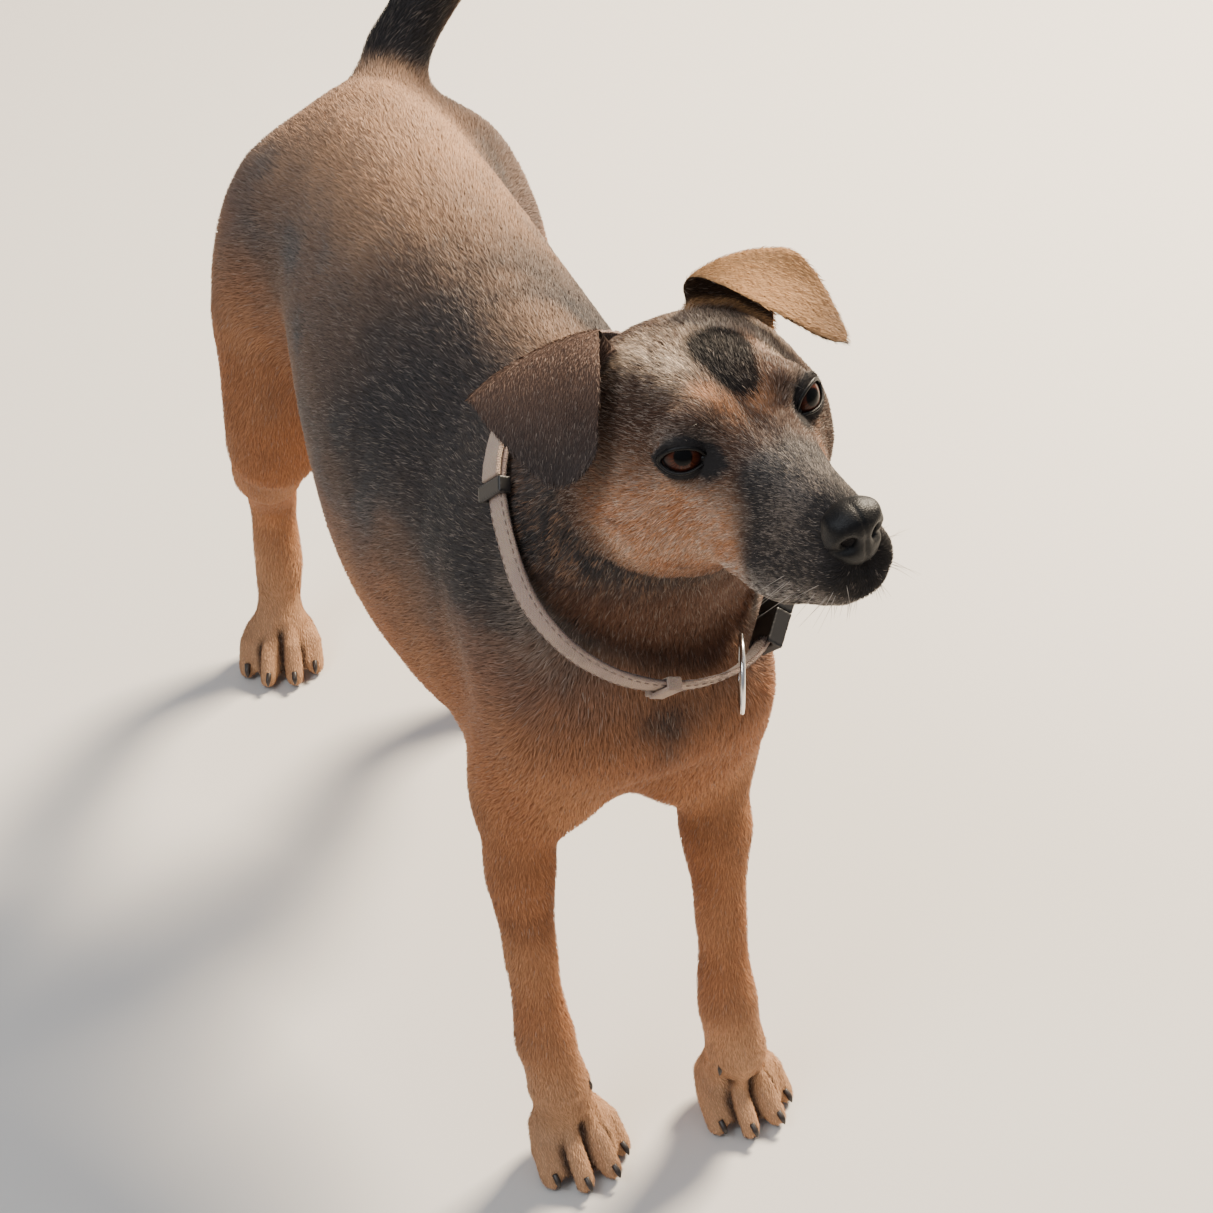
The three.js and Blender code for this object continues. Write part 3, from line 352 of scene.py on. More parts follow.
def linked(name, data):
    piece = bpy.data.objects.new(name, data)
    bpy.context.scene.collection.objects.link(piece)
    return piece


def add_mesh(name, points, faces, smooth=True):
    """A new object from points in millimetres."""
    data = bpy.data.meshes.new(name)
    data.from_pydata((np.asarray(points) * MM).tolist(), [], [list(map(int, face)) for face in faces])
    data.validate()
    if smooth:
        data.shade_smooth()
    return linked(name, data)


def add_large_mesh(name, points, corners, starts):
    """The same for many faces, from all their corners in one row and the place where each face starts."""
    data = bpy.data.meshes.new(name)
    data.vertices.add(len(points))
    data.vertices.foreach_set("co", (points * MM).ravel())
    data.loops.add(len(corners))
    data.loops.foreach_set("vertex_index", corners)
    data.polygons.add(len(starts))
    data.polygons.foreach_set("loop_start", starts)
    data.update(calc_edges=True)
    data.shade_smooth()
    return linked(name, data)


def modified(points, faces, kind, **settings):
    """A mesh after one modifier, as points in millimetres and rows of four corners."""
    piece = add_mesh(kind.lower(), points, faces, smooth=False)
    change = piece.modifiers.new(kind, kind)
    for key, value in settings.items():
        setattr(change, key, value)
    data = bpy.data.meshes.new_from_object(piece.evaluated_get(bpy.context.evaluated_depsgraph_get()))
    points = np.empty(len(data.vertices) * 3)
    data.vertices.foreach_get("co", points)
    corners = np.empty(len(data.loops), dtype=np.int64)
    data.loops.foreach_get("vertex_index", corners)
    bpy.data.objects.remove(piece)
    bpy.data.meshes.remove(data)
    return points.reshape(-1, 3) / MM, corners.reshape(-1, 4)


class Surface:
    """A skin of squares: its points, faces and edges, with smoothing over the surface."""

    def __init__(self, points, faces):
        self.faces = faces
        self.points = points
        pairs = np.concatenate([faces[:, [k, (k + 1) % 4]] for k in range(4)])
        pairs = np.unique(np.sort(pairs, axis=1), axis=0)
        self.a = np.concatenate([pairs[:, 0], pairs[:, 1]])
        self.b = np.concatenate([pairs[:, 1], pairs[:, 0]])
        self.degree = np.maximum(np.bincount(self.a, minlength=len(points)), 1)
        self.settle()

    def settle(self):
        self.normals = normals_of(self.points, self.faces)

    def blur(self, values, rounds, share=0.5):
        """Values at the corners, eased towards their neighbours' a number of times."""
        values = np.array(values, dtype=float)
        flat = values.ndim == 1
        if flat:
            values = values[:, None]
        if np.ndim(share):
            share = share[:, None]
        for _ in range(rounds):
            near = np.stack([np.bincount(self.a, column[self.b], len(self.points)) / self.degree
                             for column in values.T], axis=1)
            values += (near - values) * share
        return values[:, 0] if flat else values

    def push(self, amount):
        self.points = self.points + self.normals * np.asarray(amount)[:, None]
        self.settle()

    def rounded(self, rounds, share, give_back=30):
        """Facets smoothed away, with the shape's own roundness given back afterwards."""
        before = self.points
        self.points = self.blur(before, rounds, share)
        self.settle()
        lost = ((before - self.points) * self.normals).sum(axis=1)
        self.push(self.blur(lost, give_back))

    def keep(self, wanted):
        """A smaller surface, of the faces whose corners are all wanted, with what is known at each point."""
        faces = self.faces[wanted[self.faces].all(axis=1)]
        used = np.zeros(len(self.points), dtype=bool)
        used[faces] = True
        kept = Surface(self.points[used], (np.cumsum(used) - 1)[faces])
        for name in vars(self).keys() - vars(kept).keys():
            setattr(kept, name, getattr(self, name)[used])
        return kept


# ---------------------------------------------------------------- materials


class Material:
    """A procedural material round one shader."""

    def __init__(self, name, values):
        self.made = bpy.data.materials.new(name)
        self.made.use_nodes = True
        self.tree = self.made.node_tree
        self.shader = self.tree.nodes["Principled BSDF"]
        self.fill(self.shader, values)

    def fill(self, node, values):
        """A node's inputs, each given as a constant or as another node's output."""
        for key, value in values.items():
            if isinstance(value, bpy.types.NodeSocket):
                self.tree.links.new(value, node.inputs[key])
            else:
                node.inputs[key].default_value = value

    def node(self, kind, output, values, **settings):
        made = self.tree.nodes.new("ShaderNode" + kind)
        for key, value in settings.items():
            setattr(made, key, value)
        self.fill(made, values)
        return made.outputs[output]

    def tint(self):
        """The colour painted on the mesh."""
        return self.node("Attribute", "Color", {}, attribute_name="tint")

    def texture(self, kind, output, values, **settings):
        place = self.node("TexCoord", "Object", {})
        return self.node("Tex" + kind, output, {"Vector": place, **values}, **settings)

    def ramp(self, share, low, high, end=1.0):
        """From one colour to another as the share goes from 0 to the end."""
        ramp = self.tree.nodes.new("ShaderNodeValToRGB")
        self.fill(ramp, {"Fac": share})
        ramp.color_ramp.elements[0].color = (*low, 1)
        ramp.color_ramp.elements[1].position = end
        ramp.color_ramp.elements[1].color = (*high, 1)
        return ramp.outputs["Color"]

    def finished(self, colour, height=None, strength=0.0, depth=0.0):
        """The material, with its colour and its small relief joined to the shader."""
        self.fill(self.shader, {"Base Color": colour})
        if height is not None:
            relief = {"Height": height, "Strength": strength, "Distance": depth}
            self.fill(self.shader, {"Normal": self.node("Bump", "Normal", relief)})
        return self.made


def paint(piece, colours):
    """A colour for each corner of a mesh."""
    layer = piece.data.color_attributes.new("tint", "FLOAT_COLOR", "POINT")
    layer.data.foreach_set("color", np.concatenate([colours, np.ones((len(colours), 1))], axis=1).ravel())


# ---------------------------------------------------------------- the skin


def kind_of(node):
    """Which row of COAT a node follows."""
    return next(kind for kind in COAT if kind in node)


KINDS = np.array([kind_of(name) for name in FLESH])


def filler(node, grow=GROW):
    """A node's solid, a little larger or smaller, to be joined into the skin."""
    points, faces = node_mesh(node)
    rows = np.array(faces)
    cross = np.cross(points[rows[:, 1]] - points[rows[:, 0]], points[rows[:, 2]] - points[rows[:, 0]])
    total = np.zeros_like(points)
    for row in rows.T:
        np.add.at(total, row, cross)
    return points + unit(total) * grow, faces


def smooth_ear(node):
    """An ear with its facets rounded, made a little thicker."""
    points, faces = modified(*node_mesh(node), "SUBSURF", levels=2)
    return points + normals_of(points, faces) * 0.6, faces


def remeshed(parts, voxel):
    """One closed skin round several closed meshes, made of small squares."""
    return Surface(*modified(*merged(parts), "REMESH", mode="VOXEL", voxel_size=voxel * MM))


def clipped(points, faces, at, facing):
    """The part of a closed mesh on the side of a plane that it faces, closed again."""
    mesh = bmesh.new()
    corners = [mesh.verts.new(p) for p in points]
    for face in faces:
        mesh.faces.new([corners[v] for v in face])
    bmesh.ops.bisect_plane(mesh, geom=mesh.verts[:] + mesh.edges[:] + mesh.faces[:], dist=1e-4,
                           plane_co=at, plane_no=facing, clear_inner=True)
    bmesh.ops.holes_fill(mesh, edges=[edge for edge in mesh.edges if edge.is_boundary])
    mesh.verts.index_update()
    kept = np.array([vert.co for vert in mesh.verts])
    rows = [[vert.index for vert in face.verts] for face in mesh.faces]
    mesh.free()
    return kept, rows


def part_labels(points):
    """For each point, the number of the node of flesh that it is nearest to."""
    parts = [node_mesh(name) for name in FLESH]
    corners, faces = merged(parts)
    owners = np.repeat(np.arange(len(parts)), [len(part_faces) for _, part_faces in parts])
    tree = BVHTree.FromPolygons(corners.tolist(), faces)
    return np.array([owners[tree.find_nearest(Vector(p))[2]] for p in points])


def collar_plane():
    """The middle of the collar and the way it faces, from its strap."""
    points, _ = node_mesh("collar_strap")
    at = points.mean(axis=0)
    facing = np.linalg.svd(points - at, full_matrices=False)[2][2]
    return at, facing * np.sign(facing[2])


def lip_height(back):
    """Height of the mouth's line in the head's frame, by how far back it is."""
    return np.interp(back, [-80, -66, -48, -28, -8, 8], [-48.5, -53.0, -57.0, -59.0, -57.5, -50])


def sculpt_head(skin):
    """Brow, cheek, temple, lips and the furrow of the forehead, in the head's own frame."""
    h = Head.local(skin.points)
    n = skin.normals @ Head.axes.T
    rise = -1.3 * bump(h, (0, -4, 12), (3.2, 24, 12))
    for side in (-1, 1):
        rise += hills(h, HEAD_FORMS, side=side)
    from_lip = h[:, 2] - lip_height(h[:, 1])
    beside = ease(8, 0, h[:, 1]) * ease(0.92, 0.6, np.abs(n[:, 2]))
    rise += beside * line(from_lip - 3.2, 2.4)
    rise -= beside * 2.1 * line(from_lip, 1.15)
    front = ease(-64, -72, h[:, 1]) * ease(-30, -33, h[:, 2]) * ease(-47, -44, h[:, 2])
    rise -= 0.9 * front * line(h[:, 0], 0.9)
    skin.push(rise)


class Eye:
    """One eye's place and axes: out along the opening, towards the temple, and up."""

    def __init__(self, side):
        self.side = side
        self.centre = Head.eyes[side]
        self.out = self.direction(EYE_OPEN["yaw"], EYE_OPEN["pitch"])
        level = unit(Head.world([0, 0, 1]) - Head.origin)
        aside = unit(np.cross(level, self.out)) * side
        upright = np.cross(self.out, aside) * side
        tilt = math.radians(EYE_OPEN["tilt"])
        self.temple = aside * math.cos(tilt) + upright * math.sin(tilt)
        self.up = upright * math.cos(tilt) - aside * math.sin(tilt)

    def direction(self, yaw, pitch):
        yaw, pitch = math.radians(yaw), math.radians(pitch)
        flat = math.cos(pitch)
        local = [self.side * math.sin(yaw) * flat, -math.cos(yaw) * flat, math.sin(pitch)]
        return unit(Head.world(local) - Head.origin)

    def rim(self, t):
        """A place on the opening's edge, as millimetres towards the temple and up. t goes round once."""
        aside = np.where(np.cos(t) > 0, EYE_OPEN["outer"], EYE_OPEN["inner"]) * np.cos(t)
        height = np.where(np.sin(t) > 0, EYE_OPEN["up"], EYE_OPEN["down"]) * np.sin(t)
        pinch = 1 - 0.30 * np.abs(np.cos(t)) ** 3
        droop = -1.4 * ease(0.55, 1.0, -np.cos(t))
        return aside, height * pinch + droop

    def on_ball(self, aside, height, radius):
        """The point on a ball round the eye that lies so many millimetres aside and up from its middle."""
        reach = np.maximum(np.hypot(aside, height), 1e-6)
        bend = reach / LID_RADIUS
        share = radius * np.sin(bend) / reach
        return (self.centre + np.outer(radius * np.cos(bend), self.out)
                + np.outer(aside * share, self.temple) + np.outer(height * share, self.up))

    def gap(self, aside, height, reach):
        """About how far a place lies outside the opening, in millimetres, and negative inside it."""
        half = np.where(aside > 0, EYE_OPEN["outer"], EYE_OPEN["inner"])
        angle = np.arccos(np.clip(aside / half, -1, 1))
        beyond = np.maximum(np.abs(aside) - half, 0)
        above = np.maximum(height - self.rim(angle)[1], self.rim(-angle)[1] - height)
        gap = np.where(beyond > 0, np.hypot(beyond, np.maximum(above, 0)), above)
        return gap + np.maximum(reach - EYE_RADIUS - 6, 0)

    def flat(self, p):
        """A point near the eye as millimetres over its ball towards the temple and up, and its depth."""
        q = p - self.centre
        x, y = q @ self.temple, q @ self.up
        bend = np.arctan2(np.hypot(x, y), q @ self.out)
        wide = np.maximum(np.hypot(x, y), 1e-6)
        return x / wide * bend * LID_RADIUS, y / wide * bend * LID_RADIUS, np.linalg.norm(q, axis=1)

    def outside(self, points):
        """How far points lie outside the opening, or FAR away from it, and where they are over the ball."""
        aside, height, reach = self.flat(points)
        close = (reach < 34) & ((points - self.centre) @ self.out > -4)
        return np.where(close, self.gap(aside, height, reach), FAR), aside, height


def sculpt_lids(skin, eye):
    """The skin falls behind the ball inside the opening and lies on it as lids outside."""
    q = skin.points - eye.centre
    near = np.where((np.linalg.norm(q, axis=1) < 30) & (q @ eye.out > -2))[0]
    aside, height, reach = eye.flat(skin.points[near])
    gap = eye.gap(aside, height, reach)
    lid = EYE_RADIUS + LID + 0.12 * np.maximum(gap, 0)
    fold = np.where(height > 0, 1.0, 0.7) * (0.5 * line(gap - 2.3, 1.2) - 0.8 * line(gap - 4.8, 1.0))
    target = mix(lid + fold, reach, ease(2.5, 8.5, gap))
    target = mix(target, np.minimum(EYE_RADIUS - HOLLOW, reach), ease(0.2, -0.5, gap))
    skin.points[near] = eye.centre + unit(q[near]) * target[:, None]
    skin.settle()


def make_head_skin():
    parts = [filler("head"), filler("neck"), filler("nose", -1.1)]
    parts += [filler(eye, -0.9) for eye in EYES] + [smooth_ear(ear) for ear in EARS]
    at, facing = collar_plane()
    parts.append(clipped(*filler("trunk"), at - facing * SPARE * 1.2, facing))
    skin = remeshed(parts, VOXEL["head"])
    skin = skin.keep((skin.points - at) @ facing > -SPARE)
    skin.labels = part_labels(skin.points)
    loose = skin.blur(1.0 - (KINDS[skin.labels] == "ear"), 12)
    skin.rounded(90, 0.06 + 0.5 * loose)
    return skin


def make_body_skin():
    skin = remeshed([filler(name) for name in ["neck", "trunk", "tail"] + LEGS + PAWS], VOXEL["body"])
    at, facing = collar_plane()
    skin = skin.keep((skin.points - at) @ facing < SPARE)
    skin.labels = part_labels(skin.points)
    kinds = KINDS[skin.labels]
    broad = skin.blur(np.isin(kinds, ["trunk", "neck"]), 14)
    paws = skin.blur(kinds == "paw", 4)
    skin.rounded(40, 0.5 - 0.40 * paws)
    skin.rounded(120, 0.5 * broad)
    skin.rounded(70, 0.5 * skin.blur(kinds == "tail", 8))
    return skin


def make_paw_skin():
    """The paws, with their toes, on a finer mesh than the legs."""
    cut = np.array([0, 0, ANKLE + 22])
    parts = [filler(name) for name in PAWS]
    parts += [clipped(*filler(name), cut, np.array([0, 0, -1.0])) for name in LEGS]
    skin = remeshed(parts, VOXEL["paw"])
    skin = skin.keep(skin.points[:, 2] < ANKLE + 14)
    skin.labels = part_labels(skin.points)
    skin.rounded(14, 0.5)
    # The ankle runs down into the knuckles without a step.
    high = skin.points[:, 2]
    skin.points = skin.blur(skin.points, 70, 0.5 * ease(23, 31, high) * ease(ANKLE - 4, ANKLE - 14, high))
    skin.settle()
    return skin


def coat_table(skin):
    """The coat's values at every point. On the limbs they change with height, from the leg's to the paw's."""
    table = np.array([COAT[kind] for kind in KINDS])[skin.labels]
    limb = np.isin(KINDS[skin.labels], ["leg", "paw"])
    foot = ease(ANKLE + 26, ANKLE - 22, skin.points[limb, 2])
    table[limb] = mix(np.array(COAT["leg"]), np.array(COAT["paw"]), foot[:, None])
    return table


def sink(skin):
    """The skin drawn in from the coat's outline by the coat's depth."""
    skin.push(-GROW - skin.blur(coat_table(skin)[:, 0], 10))


def sculpt_toes(skin):
    """Furrows between the toes, which run from knuckles abreast of the palm out to each claw."""
    skin.shade = np.zeros(len(skin.points))
    for paw in PAWS:
        claws = [name for name in CLAWS if paw.replace("paw_", "") in name and "dew" not in name]
        sides = np.array([middle(claw) for claw in claws if "side" in claw])
        abreast = unit((sides[1] - sides[0]) * [1, 1, 0])
        heading = np.array([abreast[1], -abreast[0], 0])
        heading *= -np.sign(heading[1])
        centre = (sides.mean(axis=0) - heading * 23) * [1, 1, 0] + [0, 0, 26]
        ends = np.array([middle(claw) for claw in claws]) - centre
        near = np.where(skin.labels == PART[paw])[0]
        q = skin.points[near] - centre
        away = []
        for end in ends:
            knuckle = abreast * 0.62 * (end @ abreast) - heading * 3
            toe = end - knuckle
            share = np.clip((q - knuckle) @ toe / (toe @ toe), 0, 1)
            away.append(np.linalg.norm(q - knuckle - share[:, None] * toe, axis=1))
        nearest, second = np.sort(np.stack(away), axis=0)[:2]
        furrow = line(second - nearest, 2.3) * ease(38, 30, skin.points[near, 2])
        forward = q @ heading / (ends @ heading).mean()
        # skin.shade marks the furrows' front ends, which are painted darker later as painted shade.
        skin.shade[near] = furrow * ease(0.40, 0.62, forward)
        skin.points[near] -= skin.normals[near] * (2.6 * furrow * ease(0.25, 0.55, forward))[:, None]
    skin.settle()


def sculpt_body(skin):
    """The forms that lie under a short coat: blades, elbows, hocks, the stifle fold and the loin."""
    p = skin.points
    rise = np.zeros(len(p))
    for (leg, place), forms in BODY_FORMS.items():
        for side, name in ((-1, "right"), (1, "left")):
            rise += hills(p, forms, inside(f"{leg}_{name}", *place), side)
    low, high = span("trunk")
    spine = (low[0] + high[0]) / 2 - 6
    rise -= 1.1 * bump(p, (spine, p[:, 1].mean(), high[2]), (7, 170, 26))
    skin.push(rise)


# ---------------------------------------------------------------- markings


def grain(points, flow, long, wide, seed):
    """Noise drawn out along the lie of the coat."""
    down = (points * flow).sum(axis=1, keepdims=True) * flow
    return noise(points - down * (1 - wide / long), wide, seed)


def body_colours(points, normals, flow):
    """Tan legs and belly, a warm grizzled back paler along its top in painted sunlight, a dark cape behind
    the collar and a dark forechest.
    """
    back, height = along("trunk", points, 1), along("trunk", points, 2)
    drift = 0.055 * noise(points, 46, 1) + 0.035 * noise(points, 17, 2) + 0.02 * noise(points, 6, 3)
    streak = grain(points, flow, 10, 1.8, 4)
    colour = mix(RUST, TAN, 0.25 + ease(-0.5, 0.9, noise(points, 34, 5)) * 0.4)
    # Grey-brown hair covers the back and comes down to the low flank, where it thins into tan.
    edge = np.interp(back, [0.0, 0.12, 0.34, 0.60, 0.85, 1.0], [0.52, 0.44, 0.34, 0.36, 0.50, 0.58])
    saddle = ease(edge - 0.20, edge + 0.20, height + drift + 0.04 * streak)
    grizzle = mix(SLATE, TAUPE, ease(-0.8, 0.6, noise(points, 22, 6) + 0.5 * streak))
    # Painted sunlight: the top of the back is painted paler, in tan and sand.
    sunlit_crest = ease(0.68, 0.95, height + 0.6 * drift) * ease(0.0, 0.3, back)
    grizzle = mix(grizzle, mix(TAN, SAND, 0.3), (0.6 + 0.2 * streak) * sunlit_crest)
    cape = ease(0.62, 0.22, np.abs(back - 0.16) / 0.9 + 0.3 * drift) * ease(0.46, 0.66, height + drift)
    cape = cape * ease(1.06, 0.86, height + 0.5 * drift)
    grizzle = mix(grizzle, mix(CHARCOAL, BLACK, 0.15), np.clip(0.95 * cape + 0.12 * streak, 0, 1))
    # One paler lock runs down behind the collar.
    lock = line(back - 0.055, 0.028) * ease(0.5, 0.6, height) * ease(0.86, 0.72, height)
    grizzle = mix(grizzle, mix(TAUPE, SILVER, 0.4), 0.6 * lock * ease(-0.6, 0.5, streak))
    colour = mix(colour, grizzle, saddle)
    belly = ease(-0.35, -0.85, normals[:, 2]) * ease(0.5, 0.3, height)
    colour = mix(colour, UMBER, 0.35 * belly)
    # The forechest is brown under the collar, with a dark patch in its middle.
    chest = inside("trunk", 0.56, 0.02, 0.44)
    brown = bump(points, chest + [0, 10, 0], (48, 60, 34))
    colour = mix(colour, mix(UMBER, RUST, 0.35), 0.6 * brown)
    patch = hills(points, [(1, (2, 0, 6), (15, 60, 13)), (0.5, (6, 0, -16), (7, 50, 18))], chest)
    return mix(colour, mix(CHARCOAL, UMBER, 0.4), np.clip(0.9 * patch + 0.35 * streak * patch, 0, 1))


def leg_colours(points, base):
    """Legs go from rust at the top to light tan on the paws, a little darker in patches."""
    foot = ease(120, 20, points[:, 2])
    colour = mix(base, mix(TAN, SAND, 0.35), 0.85 * foot)
    return mix(colour, UMBER, 0.22 * ease(-0.2, 0.9, noise(points, 18, 8)) * (1 - foot))


def tail_colours(points, normals, flow):
    """Black-brown above and rusty at the edges and underneath, up to a dark tip."""
    streak = grain(points, flow, 16, 2.2, 9)
    under = ease(0.25, -0.65, normals[:, 2] - 0.35 * normals[:, 1] + 0.2 * streak)
    under = under * ease(1.0, 0.72, along("tail", points, 0))
    return mix(mix(CHARCOAL, BLACK, 0.35), mix(UMBER, RUST, 0.45), 0.8 * under)


def neck_colours(points, normals, flow):
    """Dark sides brindled with tan, a dark red-brown throat, and a paler nape."""
    h = Head.local(points)
    streak = grain(points, flow, 14, 1.9, 10) + 0.6 * grain(points, flow, 30, 6, 11)
    brindle = mix(mix(CHARCOAL, BLACK, 0.3), mix(TAUPE, TAN, 0.45), 0.72 * ease(0.0, 1.0, streak))
    throat = ease(-62, -96, h[:, 2] - 0.1 * h[:, 1])
    colour = mix(brindle, mix(mix(BLACK, UMBER, 0.75), RUST, 0.15), 0.85 * throat)
    return mix(colour, mix(SLATE, TAUPE, 0.4), 0.6 * ease(0.1, 0.8, normals[:, 2]))


def head_colours(points, normals, flow):
    """Charcoal temples and top of the skull, with painted shade on the right temple, painted sunlight on the
    top of the skull and along the left outline, and the left ear's painted shadow on the forehead; tan brows
    and cheeks full of grey, a dark muzzle gone silver, and painted shade on the far cheek.
    """
    h = Head.local(points)
    n = normals @ Head.axes.T
    x, y, z = np.abs(h[:, 0]), h[:, 1], h[:, 2]
    both = np.stack([x, y, z], axis=1)
    drift = noise(points, 13, 12)
    fine = grain(points, flow, 6, 1.1, 13)
    salt = ease(-0.25, 0.65, fine + 0.35 * drift)
    coarse = fine + 0.4 * drift
    colour = mix(mix(BLACK, UMBER, 0.55), TAUPE, 0.45 * salt)

    def over(tint, share):
        nonlocal colour
        colour = mix(colour, tint, share)

    def mark(name, p=both):
        return hills(p, HEAD_MARKS[name])

    # The right temple is painted darker, as painted shade; the mark is left out on the left side.
    temple = mark("temple") * ease(12, -6, h[:, 0])
    over(mix(BLACK, UMBER, 0.4), np.clip(0.95 * temple + 0.1 * fine * temple, 0, 0.95))
    # Painted sunlight: the top of the skull is painted pale silver and sand.
    over(1.12 * mix(SILVER, SAND, 0.6), 0.92 * np.clip(mark("sunlit_crown"), 0, 1) * ease(-0.6, 0.4, coarse))
    # Painted sunlight: a pale silver band along the outline of the head's left side.
    over(mix(SILVER, SAND, 0.5), 0.85 * np.clip(mark("rim", h), 0, 1) * ease(-0.7, 0.3, coarse))
    fawn = mix(RUST, TAN, 0.5 + 0.3 * drift)
    fawn = mix(fawn, mix(SILVER, SAND, 0.2), 0.75 * ease(-0.35, 0.6, fine + 0.3 * drift))
    behind = ease(-36, -10, y + 0.12 * (z + 30) + 9 * drift + 5 * fine)
    over(fawn, np.clip(1.25 * mark("cheek") * behind, 0, 1))
    over(RUST, 0.5 * mark("flush") * ease(0.6, -0.2, fine))
    over(mix(RUST, TAN, 0.6), np.clip(0.95 * mark("brow") * ease(-1.1, 0.5, fine + drift), 0, 1))
    # The left brow is browner, and a rusty patch lies above it.
    over(mix(BLACK, UMBER, 0.75), 0.72 * mark("left_brow", h) * ease(0.9, -0.3, fine))
    over(mix(RUST, TAN, 0.3), 0.85 * mark("rusty_patch", h) * ease(-0.8, 0.4, fine))
    # Painted shadow: the left ear's shadow lies black on the forehead, left of its middle, and runs down
    # between the brows.
    over(0.6 * BLACK, 0.97 * ease(0.30, 0.62, mark("ear_shadow", h) + 0.07 * fine))
    over(mix(TAUPE, SILVER, 0.5), 0.6 * np.clip(mark("orbit"), 0, 1) * ease(-0.3, 0.6, fine))
    # The muzzle is sooty, darkest in a band behind its root, on its front and at its tip.
    muzzle = ease(-12, -28, y + 7 * drift + 3 * fine + 4 * ease(-20, 0, z))
    over(mix(mix(BLACK, CHARCOAL, 0.55), mix(TAUPE, SILVER, 0.4), 0.50 * salt), muzzle)
    band = line(y + 26 + 0.12 * (z + 27) + 3 * drift, 7.5) * ease(2, -8, z) * ease(-60, -42, z)
    over(mix(BLACK, CHARCOAL, 0.6), np.clip(0.78 * band + 0.3 * fine * band, 0, 1))
    over(mix(SLATE, SILVER, 0.5), 0.5 * mark("bridge") * ease(-0.5, 0.5, fine))
    over(mix(BLACK, CHARCOAL, 0.4), 0.75 * ease(-48, -62, y) * ease(-60, -40, z + 2 * drift))
    over(mix(BLACK, CHARCOAL, 0.3), 0.85 * ease(-60, -72, y))
    # The lips and chin are silver, and the mouth's line is black.
    from_lip = z - lip_height(y)
    lips = ease(19, 3, from_lip) * ease(8, -6, y) * ease(-70, -44, y)
    chin = ease(1, -4, from_lip) * ease(0, -20, y) * ease(-70, -55, y)
    over(SILVER, np.clip(0.95 * lips + 0.6 * chin, 0, 1) * ease(-0.35, 0.5, fine + 0.3 * drift))
    over(BLACK, np.clip(line(from_lip + 0.1, 1.0) * ease(8, 2, y), 0, 1))
    over(mix(UMBER, RUST, 0.5), 0.7 * ease(-0.4, -0.9, n[:, 2]) * ease(-20, 6, y))
    for side in (-1, 1):
        gap, aside, high = Eye(side).outside(points)
        spread = np.stack([aside, high], 1)
        corner = bump(spread, (-13.5, -1.0), (5.5, 3.6)) + 0.7 * bump(spread, (12.5, -0.5), (3.5, 2.2))
        # The bare lid skin is black; above the eye its black reaches further, and that extra reach is painted
        # shade under the brow.
        reach = 2.9 + 1.2 * ease(0, 5, high) + 3.4 * corner
        over(0.5 * BLACK, ease(0.8, -0.8, gap - reach + 0.5 * fine) * (gap < FAR))
        over(CHARCOAL, 0.55 * ease(8.5, 3.5, gap + drift))
        pale = bump(spread, (9, 12), (7, 3.2)) + 0.7 * bump(spread, (3, -11), (9, 3.0))
        over(mix(TAUPE, SILVER, 0.6), 0.65 * pale * (gap < FAR) * ease(-0.3, 0.5, fine))
    # Painted shade: the far side of the face is darker under the eye.
    shaded = mark("far_cheek_shade", h)
    over(mix(BLACK, UMBER, 0.3), np.clip(1.3 * shaded + 0.1 * fine * shaded, 0, 0.93))
    for place, size in HEAD_SPOTS:
        over(CHARCOAL, 0.8 * bump(h, place, (size * 3, size * 1.3, size)))
    return colour


class Ear:
    """An ear's root, where it joins the skull, its tip, and the way its outside faces."""

    def __init__(self, node):
        side = -1 if node == "ear_right" else 1
        self.root = Head.world([side * 34, 66, 20])
        self.tip = Head.world([side * 66, 27, 2])
        self.outward = unit(Head.world([side * 0.62, 0.15, 0.77]) - Head.origin)


# Each ear's outer colour, how strongly it is mottled and darkened, and how much its tip adds. Both ears have
# one coat: the left is painted golden, as painted sunlight, and the right darker, as painted shade.
EAR_COAT_LIT_AND_SHADED = {
    "ear_right": (mix(TAUPE, RUST, 0.2), 0.51, 0.352, 0.54),
    "ear_left": (mix(TAN, SAND, 0.35) * [1.08, 1.0, 0.78], 0.2625, 0.165, 0.32),
}


def ear_colours(points, normals, flow, node):
    """Grey-brown outside on the right in painted shade and golden on the left in painted sunlight, with a
    darker edge and tip, and painted shade inside the fold.
    """
    ear = Ear(node)
    outer, mottle, shade, end = EAR_COAT_LIT_AND_SHADED[node]
    run = ear.tip - ear.root
    reach = np.clip((points - ear.root) @ run / (run @ run), 0, 1)
    fine = grain(points, flow, 5, 1.0, 14)
    colour = mix(outer, UMBER, mottle * ease(-0.5, 0.8, noise(points, 16, 15)))
    colour = mix(colour, CHARCOAL, np.clip(shade + end * ease(0.35, 1.0, reach) + 0.14 * fine, 0, 0.9))
    # Painted shade: the inside of the fold, facing away from the ear's outside, is painted nearly black.
    fold_shade = ease(0.15, -0.3, (normals * ear.outward).sum(axis=1))
    return mix(colour, mix(BLACK, UMBER, 0.15), 0.92 * fold_shade)


